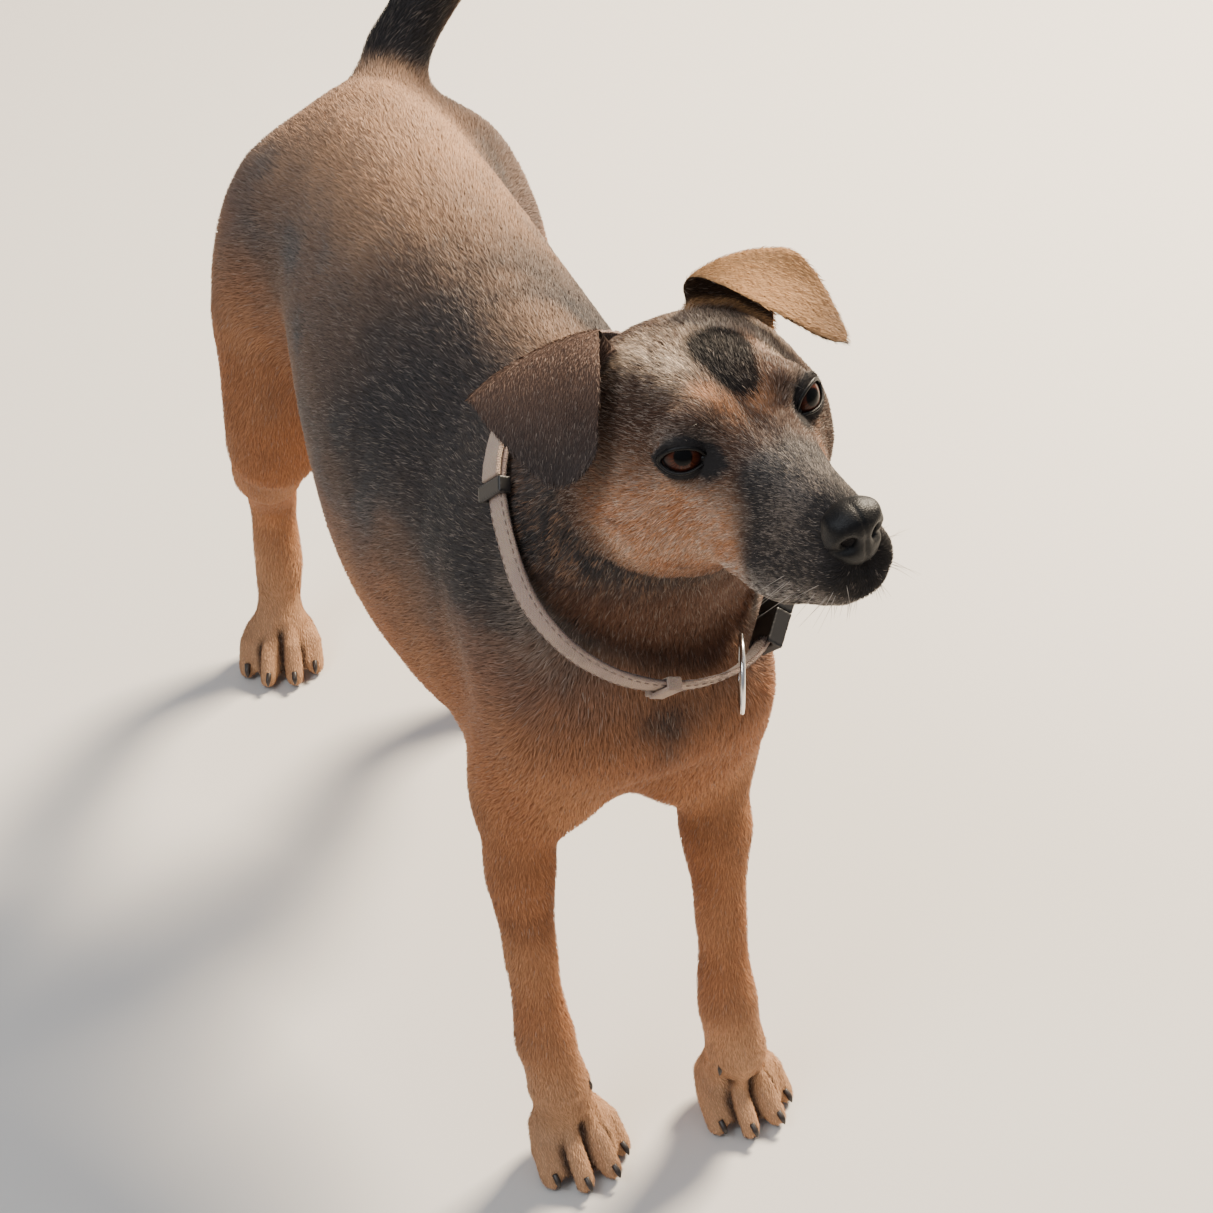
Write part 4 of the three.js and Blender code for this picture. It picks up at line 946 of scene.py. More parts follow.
def colours_of(skin):
    """The markings at every point of a skin."""
    known = skin.points, skin.normals, skin.flow
    kinds = KINDS[skin.labels]
    shares = {kind: skin.blur(kinds == kind, 9) for kind in ("leg", "paw", "tail", "neck", "head")}
    colour = body_colours(*known)
    colour = mix(colour, leg_colours(skin.points, colour), np.clip(shares["leg"] + shares["paw"], 0, 1))
    colour = mix(colour, tail_colours(*known), shares["tail"])
    colour = mix(colour, neck_colours(*known), shares["neck"])
    colour = mix(colour, head_colours(*known), shares["head"])
    for ear in EARS:
        colour = mix(colour, ear_colours(*known, ear), skin.blur(skin.labels == PART[ear], 4))
    return np.clip(colour, 0.004, 1)


# ---------------------------------------------------------------- the lie of the coat


def tail_run(points):
    """Which way the tail runs at each point, from slices of its node."""
    corners, _ = node_mesh("tail")
    places = np.linspace(corners[:, 0].min() + 8, corners[:, 0].max() - 4, 9)
    middles = np.array([corners[np.abs(corners[:, 0] - place) < 14].mean(axis=0) for place in places])
    runs = unit(np.gradient(middles, axis=0))
    return unit(np.stack([np.interp(points[:, 0], places, runs[:, k]) for k in range(3)], axis=1))


def flow_of(skin):
    """The way that the hair lies at every point: nose to tail, down the sides, and down the legs."""
    p, n = skin.points, skin.normals
    h = Head.local(p)
    height = along("trunk", p, 2)[:, None]
    down = np.array([0, 0, -1.0]) * (0.25 + 0.5 * np.abs(n[:, :1]) * ease(0.9, 0.2, height))
    front = ease(-0.35, -0.9, n[:, 1:2]) * ease(0.12, 0.0, along("trunk", p, 1))[:, None]
    cheek = ease(4, -40, h[:, 2]) * ease(-30, 20, h[:, 1])
    parted = 0.30 * np.sign(h[:, 0]) * ease(0, 16, np.abs(h[:, 0]))
    toward = {
        "trunk": (np.array([0, 1.0, 0]) + down) * (1 - front) + np.array([0, 0.1, -1.0]) * front,
        "leg": [0, 0.18, -1.0],
        "paw": [0, -0.8, -0.55],
        "neck": [0.0, 0.62, -0.78],
        "tail": tail_run(p),
        "head": unit(np.stack([parted, np.ones(len(p)), -0.55 * cheek], 1)) @ Head.axes,
    }
    flow = np.zeros_like(p)
    for kind, way in toward.items():
        chosen = KINDS[skin.labels] == kind
        flow[chosen] = np.broadcast_to(way, p.shape)[chosen]
    for name in EARS:
        ear = Ear(name)
        flow[skin.labels == PART[name]] = ear.tip - ear.root

    def lying(flow):
        return unit(flow - (flow * n).sum(axis=1, keepdims=True) * n)

    flow = unit(flow)
    for _ in range(4):
        flow = skin.blur(lying(flow), 12)
    swirl = 0.16 * noise(p, 24, 16) + 0.10 * noise(p, 9, 17)
    flow = lying(flow)
    return unit(flow + np.cross(n, flow) * swirl[:, None])


# ---------------------------------------------------------------- the coat


def unwrap(skin):
    """Each point's place, from 0 to 1, on an unwrap of the skin's own shape: a tube for each part."""
    place = np.zeros((len(skin.points), 2))
    h = Head.local(skin.points)
    at, facing = collar_plane()
    ring = [unit(np.cross(facing, [1, 0, 0])), unit(np.cross(facing, np.cross(facing, [1, 0, 0])))]
    for name in np.array(FLESH)[np.unique(skin.labels)]:
        chosen = skin.labels == PART[name]
        p, kind = skin.points[chosen], kind_of(name)
        low, high = span(name)
        x, y, z = (p - (low + high) / 2).T
        if kind == "head":
            turn = np.arctan2(h[chosen, 0], h[chosen, 2] + 20)
            run = (h[chosen, 1] - HEAD_RUN[0]) / HEAD_RUN[1]
        elif kind == "neck":
            turn = np.arctan2((p - at) @ ring[0], (p - at) @ ring[1])
            run = ((p - at) @ facing - NECK_RUN[0]) / NECK_RUN[1]
        elif kind == "tail":
            run = along(name, p, 0)
            turn = np.arctan2(z - 60 * (run - 0.5), y)
        elif kind == "trunk":
            turn = np.arctan2(x, z)
            run = along(name, p, 1)
        else:
            turn = np.arctan2(x, y)
            run = along(name, p, 2)
        place[chosen, 0] = 0.5 + turn / (2 * math.pi)
        place[chosen, 1] = np.clip(run, 0, 1)
    return place


def hair_of(skin):
    """Each point's tuft length, width and lift, and its density, eased from part to part."""
    depth, density, long, wide = skin.blur(coat_table(skin), 8).T
    p, h = skin.points, Head.local(skin.points)
    face = ease(40, -60, h[:, 1]) * (KINDS[skin.labels] == "head")
    long = long * (1 - 0.42 * face)
    wide = wide * (1 - 0.25 * face)
    depth = depth * (1 - 0.35 * face)
    density = density * (1 + 0.45 * face)
    corners, _ = node_mesh("tail")
    end = corners[corners[:, 0].argmax()]
    long = long * (1 - 0.6 * ease(16, 3, np.linalg.norm(p - end, axis=1)))
    toes = ease(34, 6, p[:, 2]) * (h[:, 1] > 60)
    long, depth = long * (1 - 0.3 * toes), depth * (1 - 0.3 * toes)
    for side in (-1, 1):
        gap, _, _ = Eye(side).outside(p)
        density = density * (1 - ease(2.2, 1.2, gap))
        long = long * (1 - 0.45 * ease(9, 2, gap))
    from_lip = np.abs(h[:, 2] - lip_height(h[:, 1]))
    mouth = ease(1.3, 0.5, from_lip) * ease(8, 2, h[:, 1]) * (np.abs(h[:, 0]) < 60)
    density = density * (1 - 0.9 * mouth) * (p[:, 2] >= 2.5)
    clump = noise(p, 7, 18)
    return np.stack([long, wide, depth * (1 + 0.25 * clump)], axis=1), np.maximum(density, 0)


def roots(skin):
    """Tuft roots spread over a skin: the corners of each one's face, and its weights for them."""
    corner = skin.points[skin.faces]
    area = 0.5 * np.linalg.norm(np.cross(corner[:, 2] - corner[:, 0], corner[:, 3] - corner[:, 1]), axis=1)
    wanted = area * skin.density[skin.faces].mean(axis=1)
    count = np.floor(wanted + rng.random(len(wanted))).astype(int)
    face = np.repeat(np.arange(len(count)), count)
    u, v = rng.random(len(face)), rng.random(len(face))
    weights = np.stack([(1 - u) * (1 - v), u * (1 - v), u * v, (1 - u) * v], axis=1)
    return skin.faces[face], weights


def tufts(skin):
    """Every tuft of a skin, as five corners with a colour for each, and its root's part and place."""
    rows, weights = roots(skin)
    count = len(rows)

    def at_root(values):
        return (values[rows] * weights[:, :, None]).sum(axis=1)

    root, normal, flow = at_root(skin.points), unit(at_root(skin.normals)), unit(at_root(skin.flow))
    long, wide, lift = (at_root(skin.hair)[:, k:k + 1] for k in range(3))
    colour = at_root(skin.colour)
    nearest = rows[np.arange(count), weights.argmax(axis=1)]
    label, place = skin.labels[nearest], skin.place[nearest]
    long = long * rng.uniform(0.65, 1.2, (count, 1))
    wide = wide * rng.uniform(0.7, 1.15, (count, 1))
    flow = unit(flow + np.cross(normal, flow) * rng.normal(0, 0.16, (count, 1)))
    roll = rng.normal(0, 0.38, (count, 1))
    across = unit(np.cross(normal, flow) * np.cos(roll) + normal * np.sin(roll)) * wide / 2
    rise = lift * rng.uniform(0.45, 1.0, (count, 1))
    start = root - normal * 0.35
    centre = root + flow * long * 0.5 + normal * rise * 0.75
    tip = root + flow * long + normal * rise
    narrow = across * 0.8
    points = np.stack([start - across, start + across, centre + narrow, centre - narrow, tip], axis=1)
    points = np.clip(points, *(np.array(CAD_BOX) / MM))
    # Single hairs differ: some are much lighter or darker than their neighbours, most in the grizzled parts.
    salted = (label == PART["head"])[:, None] * 1.0
    tone = rng.normal(0, 1, (count, 1)) * (0.10 + 0.14 * salted)
    light = colour.mean(axis=1, keepdims=True)
    dark = 1 - np.clip(light / 0.25, 0, 1)
    black = ease(0.05, 0.022, light)
    often = 0.13 * dark + (0.04 + 0.14 * dark) * salted
    often = 0.05 * (1 - 0.8 * black) + often * (1 - 0.92 * black * salted)
    ticked = (rng.random((count, 1)) < often) * rng.uniform(0.1, 0.42, (count, 1)) * (1 + 0.5 * salted)
    colour = colour * np.exp(tone) * (1 - ticked) + mix(TAUPE, SILVER, 0.5) * ticked
    ends = np.array([0.70, 0.70, 0.95, 0.95, 1.15])
    shades = np.clip(colour[:, None, :] * ends[None, :, None], 0, 1)
    return points, shades, label, place


def tuft_object(name, points, shades, place):
    """One piece of the coat: each tuft is a square and a triangle, with its patch on the map."""
    first = np.arange(len(points))[:, None]
    loops = np.array([0, 1, 2, 3, 3, 2, 4])
    corners, starts = (first * 5 + loops).ravel(), (first * 7 + [0, 4]).ravel()
    piece = add_large_mesh(name, points.reshape(-1, 3), corners, starts)
    paint(piece, shades.reshape(-1, 3))
    spot = np.array([[0, 0], [1, 0], [1, 0.5], [0, 0.5], [0.5, 1]]) - 0.5
    chart = piece.data.uv_layers.new(name="OFBake")
    chart.data.foreach_set("uv", (place[:, None, :] + spot[loops] * PATCH).ravel())
    return piece


def shown(piece, material):
    piece.data.materials.append(material)
    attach(piece, "root")
    return piece


def make_skin(surfaces):
    """All the skins in one object: the same markings as the hair, darker, with a fine hairy bump."""
    points = np.concatenate([surface.points for surface in surfaces])
    starts = np.cumsum([0] + [len(surface.points) for surface in surfaces[:-1]])
    faces = np.concatenate([surface.faces + start for surface, start in zip(surfaces, starts)])
    skin = add_large_mesh("skin", points, faces.ravel(), np.arange(len(faces)) * 4)
    paint(skin, np.concatenate([surface.colour for surface in surfaces]) * UNDERFUR)
    underfur = Material("underfur", {"Roughness": 0.75, "Specular IOR Level": 0.12})
    speck = underfur.texture("Noise", "Fac", {"Scale": 900, "Detail": 3})
    shown(skin, underfur.finished(underfur.tint(), speck, 0.5, 0.0006))
    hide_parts(*FLESH)


def make_coat(surfaces):
    """The coat's pieces, each under the largest size, from the tufts of all the skins."""
    fur = Material("fur", {"Roughness": 0.62, "Specular IOR Level": 0.13, "Sheen Weight": 0.02,
                           "Sheen Roughness": 0.5})
    hair = fur.finished(fur.tint())
    points, shades, label, place = (np.concatenate(parts) for parts in zip(*map(tufts, surfaces)))
    for name, (nodes, slot) in COAT_PIECES.items():
        chosen = np.where(np.isin(label, [PART[node] for node in nodes]))[0]
        frames = np.array([ATLAS[node] for node in FLESH])[label[chosen]]
        where = frames[:, :2] + place[chosen] * frames[:, 2:]
        pieces = math.ceil(len(chosen) / LARGEST)
        for number, part in enumerate(np.array_split(np.arange(len(chosen)), pieces), 1):
            rows = chosen[part]
            shown(tuft_object(f"{name}_{number}", points[rows], shades[rows], where[part]), hair)


# ---------------------------------------------------------------- eyes, nose, claws and whiskers


def ring_faces(rings, sides, reverse=False, closed=False):
    """Squares between rings of corners. The end rings are filled, unless the rings close on themselves."""
    faces = []
    for i in range(rings if closed else rings - 1):
        here, there = i * sides, (i + 1) % rings * sides
        for k in range(sides):
            m = (k + 1) % sides
            face = [here + k, here + m, there + m, there + k]
            faces.append([face[0], *face[:0:-1]] if reverse else face)
    if not closed:
        ends = [list(range(sides))[::-1], list(range((rings - 1) * sides, rings * sides))]
        faces += [end[::-1] for end in ends] if reverse else ends
    return faces


def circle(count):
    return np.arange(count) * 2 * math.pi / count


def tube(path, radii, sides):
    """A closed round tube along a path of points, with a radius at each, as points and faces."""
    path = np.asarray(path, dtype=float)
    run = unit(np.gradient(path, axis=0))
    across = np.cross(run, [0.0, 0.0, 1.0])
    across = unit(np.where(np.linalg.norm(across, axis=1, keepdims=True) > 0.05, across, [[1.0, 0, 0]]))
    aside = np.cross(run, across)
    turn = circle(sides)[:, None]
    rings = path[:, None] + (across[:, None] * np.cos(turn) + aside[:, None] * np.sin(turn)) \
        * np.asarray(radii)[:, None, None]
    return rings.reshape(-1, 3), ring_faces(len(path), sides)


def joined(name, parts, material, slot, replaced=()):
    """Several meshes as one visible piece, in place of the named nodes."""
    piece = shown(add_mesh(name, *merged(parts)), material)
    if replaced:
        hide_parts(*replaced)
    return piece


def eye_material():
    """A wet ball: a clear coat over the painted iris."""
    wet = Material("wet_eye", {"Roughness": 0.35, "Specular IOR Level": 0.05, "Coat Weight": 0.26,
                               "Coat Roughness": 0.02})
    return wet.finished(wet.tint())


def eyeball(side):
    """The ball, with its clear dome, and the iris and pupil drawn round the line of sight."""
    eye = Eye(side)
    sight = eye.direction(*GAZE[side])
    across = unit(np.cross(eye.up, sight))
    upright = np.cross(sight, across)
    rings, spokes = 64, 72
    t, f = np.meshgrid(np.radians(np.linspace(0.4, 118, rings)), circle(spokes), indexing="ij")
    dome = 0.75 * np.exp(-(np.degrees(t) / 30) ** 4)
    reach = EYE_RADIUS - 0.25 + dome
    points = eye.centre + (
        (np.cos(t) * reach)[..., None] * sight + (np.sin(t) * np.cos(f) * reach)[..., None] * across
        + (np.sin(t) * np.sin(f) * reach)[..., None] * upright)
    node = "eye_right" if side < 0 else "eye_left"
    piece = joined(f"eyeball_{side + 2}", [(points.reshape(-1, 3), ring_faces(rings, spokes, reverse=True))],
                   eye_material(), "eye", [node])
    angle = np.degrees(t).ravel()
    turn = f.ravel()
    streak = 0.5 * np.sin(turn * 23 + 1.7 * np.sin(turn * 5))
    streak += 0.5 * np.sin(turn * 41 + 2.3 * np.sin(turn * 7 + 1))
    colour = mix(AMBER, HONEY, np.clip(0.35 + 0.35 * streak, 0, 1) * ease(42, 24, angle))
    colour = mix(colour, BLACK, 0.65 * ease(IRIS["edge"] - 9, IRIS["edge"], angle))
    colour = mix(colour, BLACK * 0.05, ease(IRIS["pupil"] + 1.5, IRIS["pupil"] - 0.5, angle))
    colour = mix(colour, BLACK, ease(IRIS["edge"] - 1, IRIS["edge"] + 1, angle))
    white = mix(SCLERA, UMBER, ease(62, 84, angle))
    paint(piece, mix(colour, white, ease(IRIS["ring"] - 1, IRIS["ring"] + 4, angle)))


def ellipsoid(centre, radii, axes, rings=10, spokes=16):
    """An egg of squares along three axes."""
    polar = 0.02 + (math.pi - 0.04) * np.arange(rings + 1) / rings
    polar, turn = np.meshgrid(polar, circle(spokes), indexing="ij")
    wide = np.sin(polar)
    reach = np.stack([wide * np.cos(turn), wide * np.sin(turn), np.cos(polar)], axis=2) * radii
    return centre + (reach @ np.array(axes)).reshape(-1, 3), ring_faces(rings + 1, spokes, reverse=True)


def lid_rims(side):
    """The bare black edges of the lids, as one ring round the opening, with the flesh of its inner corner."""
    eye = Eye(side)
    t = np.arange(121) * 2 * math.pi / 120
    path = eye.on_ball(*eye.rim(t), EYE_RADIUS + 0.7)
    thick = 0.82 + 0.12 * np.sin(t) + 0.25 * np.abs(np.cos(t)) ** 8
    aside, height = eye.rim(np.array([math.pi]))
    spot = eye.on_ball(aside + 1.3, height, EYE_RADIUS - 0.4)[0]
    return [tube(path, thick, 10), ellipsoid(spot, (2.1, 1.6, 1.6), (eye.temple, eye.up, eye.out))]


def leather_material(name, colour, scale, depth, roughness):
    """Bare pebbled skin, as on a nose."""
    leather = Material(name, {"Roughness": roughness, "Specular IOR Level": 0.24})
    cells = leather.texture("Voronoi", "Distance", {"Scale": scale}, feature="DISTANCE_TO_EDGE")
    # The colour darkens into the cracks between the pebbles, as painted shade, and the same cells make the
    # relief.
    return leather.finished(leather.ramp(cells, colour * 0.45, colour, 0.25), cells, 0.7, depth)


def make_nose():
    """The nose leather, with comma nostrils, their wings and the furrow between them."""
    surface = remeshed([filler("nose", 0.25)], VOXEL["nose"])
    surface.rounded(110, 0.5, 60)
    h = Head.local(surface.points)
    rise = hills(h, NOSE_FORMS, side=-1) + hills(h, NOSE_FORMS)
    lower = ease(-20, -25, h[:, 2])
    rise -= (0.35 + 0.75 * lower) * line(h[:, 0], 0.75) * ease(-70, -76, h[:, 1])
    surface.push(rise)
    surface.points = surface.blur(surface.points, 2)
    leather = leather_material("nose_leather", NOSE, 1000, 0.0003, 0.48)
    joined("nose_leather", [(surface.points, surface.faces)], leather, "nose", ["nose"])


def make_claws():
    """Each claw as its node lies, rooted deeper in the toe, tapering and curling down to its tip."""
    parts = []
    for name in CLAWS:
        corners, _ = node_mesh(name)
        tip = corners[corners[:, 2].argmin()]
        away = np.linalg.norm(corners - tip, axis=1)
        base = corners[away > 0.72 * away.max()].mean(axis=0)
        axis = unit(base - tip)
        q = corners - tip
        thick = np.linalg.norm(q - np.outer(q @ axis, axis), axis=1).max()
        upright = unit(np.array([0, 0, 1.0]) - axis * axis[2])
        share = np.linspace(0, 1, 14)[:, None]
        # The root lies deeper in the toe than the node's, and the tip is drawn back from its end.
        root = base + axis * 1.6 - [0, 0, 2.4]
        end = tip + axis * 2.4
        if "dew" in name:
            # A dewclaw lies close against the inside of its leg.
            inward = (middle("front_paw_left" if "left" in name else "front_paw_right") - base) * [1, 1, 0]
            root, end = root + unit(inward) * 3.2, end + unit(inward) * 2.0
        path = root * (1 - share) + end * share + upright * np.sin(math.pi * share)
        radii = thick * np.minimum(0.66, 0.10 + 0.72 * (1 - share[:, 0] ** 2.0) ** 0.8)
        parts.append(tube(path, radii, 14))
    horn = Material("claw_horn", {"Roughness": 0.38, "Specular IOR Level": 0.5})
    mottle = horn.texture("Noise", "Fac", {"Scale": 420, "Detail": 4})
    colour = horn.ramp(mottle, BLACK * 0.8, HORN)
    joined("claws", parts, horn.finished(colour, mottle, 0.3, 0.0003), "claw", CLAWS)


def make_whiskers(skin):
    """Stiff hairs on the lips, chin and brows, swept back and down."""
    tree = BVHTree.FromPolygons(skin.points.tolist(), skin.faces.tolist())
    low, high = np.array(CAD_BOX) / MM
    dark, light = [], []
    for side in (-1, 1):
        for centre, spread, count, long in WHISKERS:
            for _ in range(count):
                local = np.array(centre) * [side, 1, 1] + rng.normal(0, 0.6, 3) * spread
                found, normal, _, _ = tree.find_nearest(Vector(Head.world(local)))
                back, down = rng.uniform(0.35, 0.8), rng.uniform(0.0, 0.35)
                sweep = unit(np.array(normal) * 0.9 + Head.backward * back - Head.up * down)
                reach = long * rng.uniform(0.6, 1.05)
                s = np.linspace(0, 1, 8)[:, None]
                bend = (Head.backward * 0.35 - Head.up * 0.25) * reach * s * s * 0.5
                path = np.clip(np.array(found) + sweep * reach * s + bend, low + 0.3, high - 0.3)
                pale = rng.random() < 0.45 and centre[1] < -40
                (light if pale else dark).append(tube(path, 0.10 * (1 - s[:, 0]) + 0.02, 5))
    for name, parts, colour in (("whiskers_dark", dark, BLACK), ("whiskers_light", light, SILVER)):
        hair = Material(name, {"Roughness": 0.4})
        shade = hair.node("TexNoise", "Fac", {"Scale": 120})
        joined(name, parts, hair.finished(hair.ramp(shade, colour * 0.6, colour)), "head_coat")


# ---------------------------------------------------------------- the collar


def fabric_material(name, scale):
    """Soft woven fabric: fine threads both ways, worn unevenly, with a little fuzz."""
    fabric = Material(name, {"Roughness": 0.9, "Specular IOR Level": 0.2, "Sheen Weight": 0.25,
                             "Sheen Roughness": 0.6})
    fuzz = fabric.texture("Noise", "Fac", {"Scale": scale, "Detail": 5, "Roughness": 0.7})
    weave = fabric.texture("Voronoi", "Distance", {"Scale": scale * 0.9, "Randomness": 0.35})
    both = fabric.node("Math", "Value", {0: fuzz, 1: weave}, operation="ADD")
    speckle = fuzz.node.outputs["Color"]
    colour = fabric.node("Mix", "Result", {0: 0.45, "A": fabric.tint(), "B": speckle},
                         data_type="RGBA", blend_type="MULTIPLY")
    return fabric.finished(colour, both, 0.9, 0.0009)


def plane_axes(facing):
    """Two directions across a plane, given the way that it faces."""
    first = unit(np.cross(facing, [0, 0, 1.0]))
    return first, np.cross(facing, first)


def strap_path():
    """The middle line of the strap, from one end to the other, from its node's corners."""
    points, _ = node_mesh("collar_strap")
    at, facing = collar_plane()
    first, second = plane_axes(facing)
    q = points - at
    top = q[q @ facing > 0]
    turn = np.arctan2(top @ second, top @ first)
    order = np.argsort(turn)
    flat = (top - np.outer(top @ facing, facing))[order]
    turn = turn[order]
    gaps = np.diff(np.concatenate([turn, [turn[0] + 2 * math.pi]]))
    flat = np.roll(flat, -(int(gaps.argmax()) + 1), axis=0)
    pairs = flat[: len(flat) // 2 * 2].reshape(-1, 2, 3).mean(axis=1)
    steps = np.concatenate([[0], np.cumsum(np.linalg.norm(np.diff(pairs, axis=0), axis=1))])
    fine = np.linspace(0, steps[-1], STRAP["rings"])
    path = np.stack([np.interp(fine, steps, pairs[:, k]) for k in range(3)], axis=1)
    for _ in range(30):
        path[1:-1] += 0.5 * ((path[:-2] + path[2:]) / 2 - path[1:-1])
    return path + at, facing


def make_strap():
    """A flat soft strap with rolled edges: light outside, dark inside, sewn along both edges."""
    path, facing = strap_path()
    wide, thick, stitched = STRAP["half_width"], STRAP["half_thickness"], STRAP["stitch_line"]
    out = unit(np.cross(unit(np.gradient(path, axis=0)), facing))
    out *= np.sign(((path - path.mean(axis=0)) * out).sum())
    turn = circle(STRAP["corners"])
    x = np.sign(np.cos(turn)) * np.abs(np.cos(turn)) ** 0.45 * wide
    y = np.sign(np.sin(turn)) * np.abs(np.sin(turn)) ** 0.62 * thick
    seam = -0.35 * line(np.abs(x) - stitched, 0.5) * np.sign(y)
    soft = 0.22 * noise(path, 14, 21)[:, None] + 0.10 * noise(path, 4, 22)[:, None]
    rings = path[:, None] + facing * x[:, None] + out[:, None] * (y + seam + soft * np.sign(y))[..., None]
    points = rings.reshape(-1, 3)
    strap = joined("collar_webbing", [(points, ring_faces(len(path), len(turn)))],
                   fabric_material("webbing", 1300), "collar_webbing", ["collar_strap"])
    outside = np.tile(ease(-0.35, 0.25, y / thick), len(path))
    worn = ease(-0.6, 0.9, noise(points, 11, 23))
    colour = mix(LINING, mix(WEBBING, SAND, 0.25 * worn), outside[:, None])
    stain = ease(0.1, 0.9, noise(points, 19, 25) + 0.5 * noise(points, 4, 26))
    paint(strap, mix(colour, LINING, 0.30 * stain))
    stitches = []
    for edge in (-stitched, stitched):
        for i in range(3, len(path) - 5, 3):
            a, b, c = path[i:i + 3] + facing * edge + out[i:i + 3] * (thick + 0.02)
            stitches.append(tube([a * 0.85 + b * 0.15, b, c * 0.85 + b * 0.15], [0.16, 0.26, 0.16], 6))
    thread = joined("collar_stitching", stitches, fabric_material("thread", 2400), "collar_webbing")
    paint(thread, np.tile(mix(WEBBING, LINING, 0.25), (len(thread.data.vertices), 1)))


def plastic_material():
    """Black plastic, finely grained and a little worn."""
    plastic = Material("collar_plastic", {"Roughness": 0.42})
    fine = plastic.texture("Noise", "Fac", {"Scale": 1500, "Detail": 2})
    wear = plastic.texture("Noise", "Fac", {"Scale": 90, "Detail": 3})
    return plastic.finished(plastic.ramp(wear, BLACK * 0.8, PLASTIC), fine, 0.25, 0.0001)


def make_fitting(node, ending, rounds, material, slot):
    """A node's solid with its edges rounded."""
    surface = remeshed([filler(node, 0.0)], VOXEL["fitting"])
    surface.rounded(rounds, 0.5, 6)
    piece = joined(f"{node}_{ending}", [(surface.points, surface.faces)], material, slot, [node])
    return piece, surface.points


def make_fittings():
    """The slide and buckle of black plastic, and the fabric keeper and doubled end."""
    plastic = plastic_material()
    for node in ("collar_slide", "collar_buckle_socket", "collar_buckle_plug"):
        make_fitting(node, "moulded", 3, plastic, "collar_plastic")
    fabric = fabric_material("keeper_webbing", 1300)
    for node in ("collar_fold", "collar_keeper"):
        piece, points = make_fitting(node, "sewn", 8, fabric, "collar_webbing")
        paint(piece, mix(WEBBING, SAND, 0.4 * ease(-0.6, 0.9, noise(points, 7, 24))))


def make_ring():
    """A round bright steel ring, as its node lies."""
    points, _ = node_mesh("collar_ring")
    centre = points.mean(axis=0)
    q = points - centre
    normal = np.linalg.svd(q, full_matrices=False)[2][2]
    first, second = plane_axes(normal)
    wire = np.abs(q @ normal).max()
    radius = np.linalg.norm(q - np.outer(q @ normal, normal), axis=1).max() - wire
    around, sides = 120, 18
    a, b = np.meshgrid(circle(around), circle(sides), indexing="ij")
    spoke = np.cos(a)[..., None] * first + np.sin(a)[..., None] * second
    ring = centre + spoke * (radius + wire * np.cos(b))[..., None] + normal * (wire * np.sin(b))[..., None]
    steel = Material("ring_steel", {"Metallic": 1.0})
    scuffs = steel.texture("Noise", "Fac", {"Scale": 700, "Detail": 4})
    dull = steel.node("MapRange", "Result", {"Value": scuffs, "To Min": 0.12, "To Max": 0.30})
    steel.fill(steel.shader, {"Base Color": (*STEEL, 1), "Roughness": dull})
    faces = ring_faces(around, sides, reverse=True, closed=True)
    joined("collar_ring_wire", [(ring.reshape(-1, 3), faces)], steel.made, "collar_ring", ["collar_ring"])


# ---------------------------------------------------------------- the whole dog

head_skin = make_head_skin()
sink(head_skin)
sculpt_head(head_skin)
for eye in (Eye(-1), Eye(1)):
    sculpt_lids(head_skin, eye)
body_skin = make_body_skin()
sink(body_skin)
sculpt_body(body_skin)
paw_skin = make_paw_skin()
sink(paw_skin)
sculpt_toes(paw_skin)
for surface in (head_skin, body_skin, paw_skin):
    surface.flow = flow_of(surface)
    surface.colour = colours_of(surface)
    surface.hair, surface.density = hair_of(surface)
    surface.place = unwrap(surface)
# The gaps between the toes are painted darker, as painted shade, and the soles are dark too.
gaps = np.clip(1.5 * paw_skin.blur(paw_skin.shade, 2), 0, 0.94)
soles = 0.9 * ease(4.5, 1.5, paw_skin.points[:, 2]) * ease(-0.3, -0.7, paw_skin.normals[:, 2])
paw_skin.colour = mix(paw_skin.colour, mix(BLACK, UMBER, 0.35), np.maximum(gaps, soles))
# Each skin passes the next one by a little, under the strap or at the ankle.
at, facing = collar_plane()
head_skin = head_skin.keep((head_skin.points - at) @ facing > -SEAM)
body_skin = body_skin.keep(((body_skin.points - at) @ facing < SEAM) & (body_skin.points[:, 2] > ANKLE - 2))
paw_skin = paw_skin.keep(paw_skin.points[:, 2] < ANKLE + 2)
make_skin([head_skin, body_skin, paw_skin])
make_coat([head_skin, body_skin, paw_skin])
eyeball(-1)
eyeball(1)
lid_leather = leather_material("lid_skin", LID_SKIN, 1500, 0.0002, 0.40)
joined("lid_rims", lid_rims(-1) + lid_rims(1), lid_leather, "head_coat")
make_nose()
make_claws()
make_whiskers(head_skin)
make_strap()
make_fittings()
make_ring()

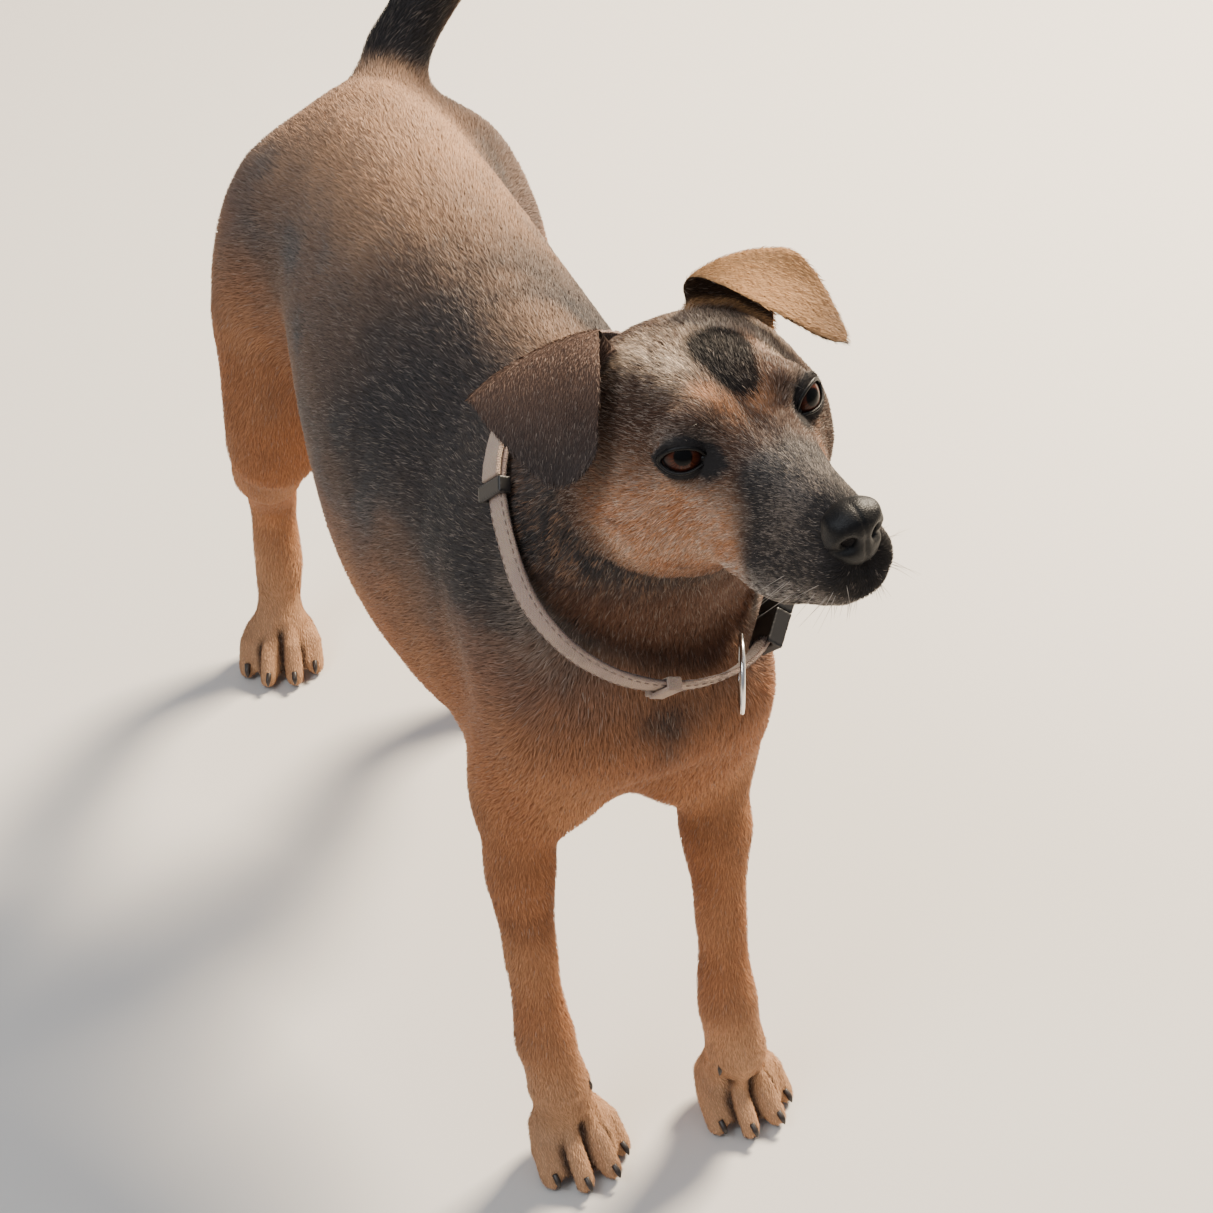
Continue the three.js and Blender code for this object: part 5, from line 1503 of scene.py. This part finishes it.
# ---------------------------------------------------------------- floor, lights and camera


def aimed(name, data, target, azimuth, elevation, distance, roll=0.0):
    """A camera or light placed by its angles round the point that it looks at."""
    azimuth, elevation = math.radians(azimuth), math.radians(elevation)
    away = Vector((math.sin(azimuth) * math.cos(elevation), -math.cos(azimuth) * math.cos(elevation),
                   math.sin(elevation)))
    piece = linked(name, data)
    piece.location = Vector(target) + away * distance
    turn = away.to_track_quat("Z", "Y").to_matrix() @ Matrix.Rotation(math.radians(roll), 3, "Z")
    piece.rotation_euler = turn.to_euler()
    return piece


def camera():
    data = bpy.data.cameras.new("camera")
    data.sensor_width = 36
    data.lens = CAMERA["lens"]
    data.clip_start = 0.05
    place = (CAMERA[key] for key in ("azimuth", "elevation", "distance", "roll"))
    bpy.context.scene.camera = aimed("camera", data, CAMERA_AIM, *place)


def area_light(name, azimuth, elevation, distance, size, power, colour):
    """A soft square light that faces the dog."""
    data = bpy.data.lights.new(name, "AREA")
    data.shape = "SQUARE"
    data.size = size
    data.energy = power
    data.color = colour
    aimed(name, data, (0, 0, 0.25), azimuth, elevation, distance)


def studio():
    """A warm key light from behind the dog's left, a cool fill from its front right, and one from above."""
    world = bpy.data.worlds.new("studio")
    world.use_nodes = True
    back = world.node_tree.nodes["Background"]
    back.inputs["Color"].default_value = (0.86, 0.90, 1.0, 1)
    back.inputs["Strength"].default_value = 0.36
    bpy.context.scene.world = world
    area_light("key", 122, 42, 2.6, 0.7, 300, (1.0, 0.84, 0.64))
    area_light("fill", -62, 48, 2.8, 1.1, 36, (0.90, 0.95, 1.0))
    area_light("top", 10, 80, 2.4, 1.6, 16, (1.0, 0.98, 0.95))


def floor():
    """A plain pale floor, 60 metres across."""
    side = 30000
    piece = add_mesh("floor", [(-side, -side, 0), (side, -side, 0), (side, side, 0), (-side, side, 0)],
                     [(0, 1, 2, 3)], smooth=False)
    piece.data.materials.append(Material("floor_paint", {"Roughness": 0.85}).finished((0.62, 0.60, 0.57, 1)))


camera()
studio()
floor()
